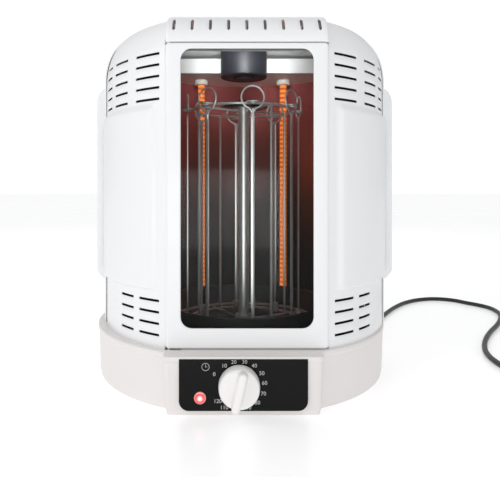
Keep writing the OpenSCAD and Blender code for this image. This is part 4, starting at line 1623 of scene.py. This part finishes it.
    def grip(self, side: Side) -> Piece:
        """Returns one moulded side grip."""
        r, out = self.rear_radius, 8.0
        low, high, first, last = 92.2, 287.0, 76.3, 116.0
        edge = [
            (-0.4, low + 0.6), (0.6, low + 0.1), (2.2, low + 1.0), (out - 1.6, low + 6.2),
            (out - 0.4, low + 8.2), (out, low + 10.5)
        ]
        edge += [
            (out, high - 16), (out - 0.3, high - 11.5), (out - 1.3, high - 7.5),
            (out - 3.2, high - 3.8), (out - 5.6, high - 1.4), (1.0, high - 0.2), (-0.4, high - 0.5)
        ]
        dense = []
        for (d0, z0), (d1, z1) in zip(edge, edge[1:]):
            parts = max(1, int(abs(z1 - z0) // 12))
            dense += [
                (d0 + (d1 - d0) * k / parts, z0 + (z1 - z0) * k / parts) for k in range(parts)
            ]
        dense.append(edge[-1])
        loops = []
        ends = [(first, 0.0), (first + 0.02, 0.86), (first + 0.22, 0.965), (first + 0.6, 1.0)]
        steps = ends + [
            (first + 0.6 + (last - first - 1.2) * k / 26, 1.0) for k in range(1, 26)
        ] + [(first + last - a, s) for a, s in reversed(ends)]
        for angle, share in steps:
            middle = (low + high) / 2
            loop = []
            for d, z in dense:
                d = d * share if d > 0 else d
                z = middle + (z - middle) * (1 - 0.012 * (1 - share))
                x, y, _ = around(r + d, angle)
                loop.append((side.value * x, y, z))
            loops.append(loop)
        work = bmesh.new()
        add_rings(work, loops, caps=True)
        return finished(work, f"side_grip_{side.name.lower()}_cover")

    def screws(self) -> Piece:
        """Returns the casing and base screws, placed on their points."""
        head = turned(
            "screw_head",
            [
                (0, -0.6), (1.6, -0.6), (3.45, 0), (3.4, 0.7), (2.8, 1.35), (1.6, 1.72),
                (0.9, 1.75), (0.8, 0.8), (0, 0.8)
            ], 24
        )
        spots: list[tuple[Point, Vector]] = []
        for angle in (122, 155, 205, 238):
            for z in (self.low + 6, self.top - 56):
                way = Vector(around(1.0, angle))
                spots.append((tuple(way * self.rear_radius + Vector((0, 0, z))), way))
        for angle in (62, 118, 242, 298):
            x, y, _ = around(138, angle)
            spots.append(((x - 3.5, y, 3.5), Vector((0, 0, -1))))
        tree = Pattern("screws", head=head, finish=BRIGHT_STEEL.material())
        way = tree.node(
            "GeometryNodeInputNamedAttribute", {"Name": "way"}, data_type="FLOAT_VECTOR"
        )
        turn = tree.node("FunctionNodeAlignRotationToVector", {"Vector": way.outputs[0]}, axis="Z")
        grown = tree.copies(tree.entry.outputs[0], tree.shape("head"), Rotation=turn.outputs[0])
        made = tree.bake("screw_heads", grown, spots)
        bpy.data.objects.remove(head)
        return made

    def build(self) -> None:
        """Builds the casing."""
        for side in Side:
            name = side.name.lower()
            fit(
                self.front_shell(side), Body.CASING, CASING_PAINT,
                [f"front_shell_{name}"]
            )
            fit(self.grip(side), Body.CASING, GRIP_PLASTIC, [f"side_grip_{name}"])
        fit(self.rear_shell(), Body.CASING, CASING_PAINT, ["rear_shell"])
        fit(self.roof_panel(), Body.CASING, CASING_PAINT, ["top_front_panel"])
        sets = []
        z, step, count = self.upper
        for columns, rows, radius in (
            (self.columns, (z + step, step, count - 1), self.radius),
            (self.low_columns, self.lower, self.radius),
            (self.rear_columns, (z + step, step, count - 1), self.rear_radius),
            (self.rear_columns, self.lower, self.rear_radius),
        ):
            for a, b in columns:
                sets += [(radius, a, b, rows), (radius, 360 - b, 360 - a, rows)]
        fit(self.slot_lips("slot_lips", sets), Body.CASING)
        fit(self.screws(), Body.CASING, None, ["casing_screws", "base_screws"])


# ---------------------------------------------------------------- door


@dataclass
class Door:
    """The hinged door: a folded steel frame around a pane of glass."""

    half: float = 69.5
    low: float = 49.0
    high: float = 309.0
    front: float = -130.46
    depth: float = 11.5
    fold: float = 3.0
    window_half: float = 56.2
    window: Flat = (66.7, 303.3)
    window_corner: float = 9.5

    def loop(self, inset: float, corner: float, y: float, window: bool = False) -> list[Point]:
        """Returns a rounded rectangle in the door's plane.

        Args:
            inset: how far inside the outer edge, or outside the window's edge, in mm.
            corner: its corner radius in mm.
            y: its depth in mm.
            window: whether it follows the window.

        Returns:
            The points.
        """
        if window:
            half = self.window_half + inset
            low, high = self.window[0] - inset, self.window[1] + inset
        else:
            half, low, high = self.half - inset, self.low + inset, self.high - inset
        made = []
        right, left, foot, head = half - corner, -half + corner, low + corner, high - corner
        for cx, cz, start in (
            (right, foot, -90), (right, head, 0), (left, head, 90), (left, foot, 180)
        ):
            for k in range(9):
                a = math.radians(start + 90 * k / 8)
                made.append((cx + corner * math.cos(a), y, cz + corner * math.sin(a)))
        return made

    def frame(self) -> Piece:
        """Returns the folded frame."""
        loops = [
            self.loop(0, 3.6, self.front + self.depth),
            self.loop(0, 3.6, self.front + self.fold + 2)
        ]
        for a in (0, 15, 30, 45, 60, 75, 90):
            t = math.radians(a)
            inset = self.fold * (1 - math.cos(t))
            loops.append(
                self.loop(inset, 3.6 - inset * 0.9, self.front + self.fold * (1 - math.sin(t)))
            )
        rim = 0.95
        loops.append(self.loop(rim + 0.35, self.window_corner + rim + 0.35, self.front, True))
        for a in (0, 22, 45, 68, 90):
            t = math.radians(a)
            inset = rim * (1 - math.sin(t))
            y = self.front + rim * (1 - math.cos(t))
            loops.append(self.loop(inset, self.window_corner + inset, y, True))
        work = bmesh.new()
        add_rings(work, loops)
        work.normal_update()
        score = sum(-f.normal.y * f.calc_area() for f in work.faces if abs(f.normal.y) > 0.9)
        if score < 0:
            bmesh.ops.reverse_faces(work, faces=work.faces)
        return thicken(finished(work, "door_frame_sheet", outward=False), 0.9)

    def build(self) -> None:
        """Builds the door."""
        fit(self.frame(), Body.DOOR, CASING_PAINT, ["door_frame"])
        carry(Body.DOOR, DOOR_GLASS, "door_glass", 0.5)
        for node in ("glass_clips", "hinge_pins", "strike_plate"):
            carry(Body.DOOR, BRIGHT_STEEL, node, 0.15)


# ---------------------------------------------------------------- chamber


@dataclass
class Chamber:
    """The heated chamber: floor, reflector, ceiling, hub and heaters."""

    liner_radius: float = 127.0
    floor: float = 49.5
    ceiling: float = 319.0
    half_opening: float = 35.0
    heaters: Flat = (51.0, 84.0)

    def liner(self) -> Piece:
        """Returns the curved reflector, drawn up from an arc."""
        tree = Pattern(
            "reflector", radius=self.liner_radius * MM,
            start=math.radians(FACING + self.half_opening),
            sweep=math.radians(360 - 2 * self.half_opening), low=self.floor * MM,
            height=(self.ceiling - self.floor) * MM, finish=LINER_SHEET.material(),
        )
        line = tree.node("GeometryNodeCurveToMesh", {"Curve": tree.arc(120)})
        seat = tree.node(
            "GeometryNodeTransform",
            {"Geometry": line.outputs[0], "Translation": tree.vector(z=tree.given("low"))}
        )
        wall = tree.node(
            "GeometryNodeExtrudeMesh",
            {
                "Mesh": seat.outputs[0], "Offset": tree.vector(z=1.0),
                "Offset Scale": tree.given("height")
            }, mode="EDGES"
        )
        made = tree.bake("reflector_liner", wall.outputs[0])
        work = bmesh.new()
        work.from_mesh(made.data)
        work.normal_update()
        if sum(f.calc_center_median().xy.dot(f.normal.xy) for f in work.faces) < 0:
            bmesh.ops.reverse_faces(work, faces=work.faces)
        work.to_mesh(made.data)
        work.free()
        return thicken(made, 1.0)

    def windings(self, x: float, name: str) -> Piece:
        """Returns a heater's outer winding.

        Args:
            x: the heater's x in mm.
            name: the piece's name.

        Returns:
            The winding.
        """
        tree = Pattern(
            "heater_winding", turns=92.0, radius=4.28 * MM, wire=0.2 * MM, low=60.0 * MM,
            height=248.0 * MM,
            x=x * MM, y=self.heaters[1] * MM, finish=HEATER_QUARTZ.material(),
        )
        helix = tree.node(
            "GeometryNodeCurveSpiral",
            {
                "Resolution": 14, "Rotations": tree.given("turns"),
                "Start Radius": tree.given("radius"), "End Radius": tree.given("radius"),
                "Height": tree.given("height")
            },
        )
        seat = tree.node(
            "GeometryNodeTransform",
            {
                "Geometry": tree.pipe(helix.outputs[0], tree.given("wire"), 5),
                "Translation": tree.vector(tree.given("x"), tree.given("y"), tree.given("low"))
            },
        )
        return tree.bake(name, seat.outputs[0])

    def build(self) -> None:
        """Builds the chamber."""
        fit(self.liner(), Body.CASING, None, ["inner_liner"])
        for node, slot, finish, edge in (
            ("chamber_floor", "chamber_steel", CHAMBER_ENAMEL, 0.4),
            ("ceiling_plate", "steel_plate", PALE_STEEL, 0.3),
            ("ceiling_hub", "hub_steel", HUB_ENAMEL, 1.2),
            ("door_surround", "steel_plate", PLATED_STEEL, 0.2),
            ("heater_caps", "ceramic", CERAMIC, 0.8),
        ):
            carry(Body.CASING, finish, node, edge)
        for side in Side:
            name = side.name.lower()
            carry(Body.CASING, HEATER_QUARTZ, f"heater_tube_{name}")
            winding = self.windings(side.value * self.heaters[0], f"heater_winding_{name}")
            fit(winding, Body.CASING)
        for node, slot, finish in (
            ("hinge_bracket_top", "bright_steel", BRIGHT_STEEL),
            ("hinge_bracket_bottom", "bright_steel", BRIGHT_STEEL),
            ("catch_magnet", "magnet", RUBBER), ("thermal_cutout", "ceramic", CERAMIC),
            ("timer_unit", "timer_case", CASE_PLASTIC),
            ("neon_lamp", "lamp_glass", LAMP_GLASS), ("drive_motor", "steel_plate", PLATED_STEEL),
            ("shaft_bush", "brass_bush", BLADE_BRASS),
            ("terminal_block", "block_plastic", BLOCK_PLASTIC),
        ):
            carry(Body.CASING, finish, node, 0.3)


# ---------------------------------------------------------------- turntable


@dataclass
class Turntable:
    """The turning part: pan, racks, posts and skewers."""

    skewers: int = 8
    circle: float = 61.0
    turn: float = 7.0
    foot: float = 43.0
    handle: float = 274.0
    handle_radius: float = 11.3
    blade_thickness: float = 1.3

    def pan(self) -> Piece:
        """Returns the drip pan with its rolled rim."""
        edge = [
            (0, 39), (78, 39), (80.6, 39.3), (82, 40.6), (86.2, 62.6), (86.6, 63.4), (87.4, 63.3),
            (88.1, 63.6), (88.5, 64.2), (88.3, 64.8), (87.6, 65.0), (86.4, 65.0), (85.4, 64.2),
            (81.2, 42.4), (80.4, 41.0), (79, 40.3), (60, 40.0), (56, 40.6), (52, 40.0), (0, 40.0)
        ]
        return turned("drip_pan_sheet", edge, 128)

    def blade(self) -> Piece:
        """Returns one skewer: a flat blade with a point, a bent neck and a ring handle."""
        work = bmesh.new()
        neck = self.handle - self.handle_radius
        edge = [
            (self.foot, 0.35), (self.foot + 7, 1.15), (self.foot + 30, 1.95), (neck - 12, 2.0),
            (neck - 6, 1.85), (neck - 2, 1.3), (neck + 0.4, 1.0)
        ]
        half = self.blade_thickness / 2
        loops = []
        for z, wide in edge:
            soft = min(0.3, wide * 0.4)
            loops.append(
                [
                    (self.circle + x, y, z)
                    for x, y in (
                        (half, -wide + soft), (half, wide - soft), (half - 0.25, wide),
                        (-half + 0.25, wide),
                        (-half, wide - soft), (-half, -wide + soft), (-half + 0.25, -wide),
                        (half - 0.25, -wide),
                    )
                ]
            )
        add_rings(work, loops, caps=True)
        r = self.handle_radius
        loop = [
            (
                self.circle, r * math.sin(math.radians(a)),
                self.handle - r * math.cos(math.radians(a))
            )
            for a in range(14, 347, 6)
        ]
        path = [(self.circle + 0.1, 0.35, neck - 9), (self.circle + 0.1, 0.7, neck - 4)] + loop
        path += [(self.circle + 0.1, -0.7, neck - 4), (self.circle + 0.1, -0.35, neck - 9)]
        add_tube(work, path, 0.98, 10)
        return finished(work, "skewer_blade")

    def skewer_set(self) -> Piece:
        """Returns the skewers, set round the circle."""
        blade = self.blade()
        tree = Pattern(
            "skewer_set", count=self.skewers, turn=math.radians(FACING + self.turn), blade=blade,
            finish=CHROME_WIRE.material()
        )
        spots = tree.row(tree.given("count"), (0.0, 0.0, 0.0))
        number = tree.node("GeometryNodeInputIndex").outputs[0]
        share = tree.math("DIVIDE", tree.math("MULTIPLY", number, math.tau), tree.given("count"))
        round_to = tree.vector(z=tree.math("ADD", share, tree.given("turn")))
        made = tree.bake(
            "skewer_wires", tree.copies(spots, tree.shape("blade"), Rotation=round_to)
        )
        bpy.data.objects.remove(blade)
        return made

    def build(self) -> None:
        """Builds the turntable."""
        fit(self.pan(), Body.TURNTABLE, PAN_COATING, ["drip_pan"])
        fit(
            self.skewer_set(), Body.TURNTABLE, None,
            [f"skewer_{k + 1}" for k in range(self.skewers)]
        )
        for node, slot, finish in (
            ("drive_shaft", "bright_steel", BRIGHT_STEEL),
            ("drive_coupler", "coupler_plastic", BLACK_PLASTIC),
            ("rack_lower", "chrome_wire", CHROME_WIRE), ("rack_upper", "chrome_wire", CHROME_WIRE),
            ("rack_posts", "chrome_wire", CHROME_WIRE),
            ("centre_tube", "chrome_wire", CHROME_WIRE),
            ("tube_cap", "cap_plastic", BLACK_PLASTIC),
        ):
            carry(Body.TURNTABLE, finish, node)


def main() -> None:
    """Builds the oven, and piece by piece."""
    logging.basicConfig(level=logging.INFO, format="%(name)s: %(message)s")
    for part in (
        Studio(), SupplyCord(), Base(), Timer(), Casing(), Door(), Chamber(), Turntable()
    ):
        part.build()
        LOG.info("built %s", type(part).__name__)


if __name__ == "__main__":
    main()
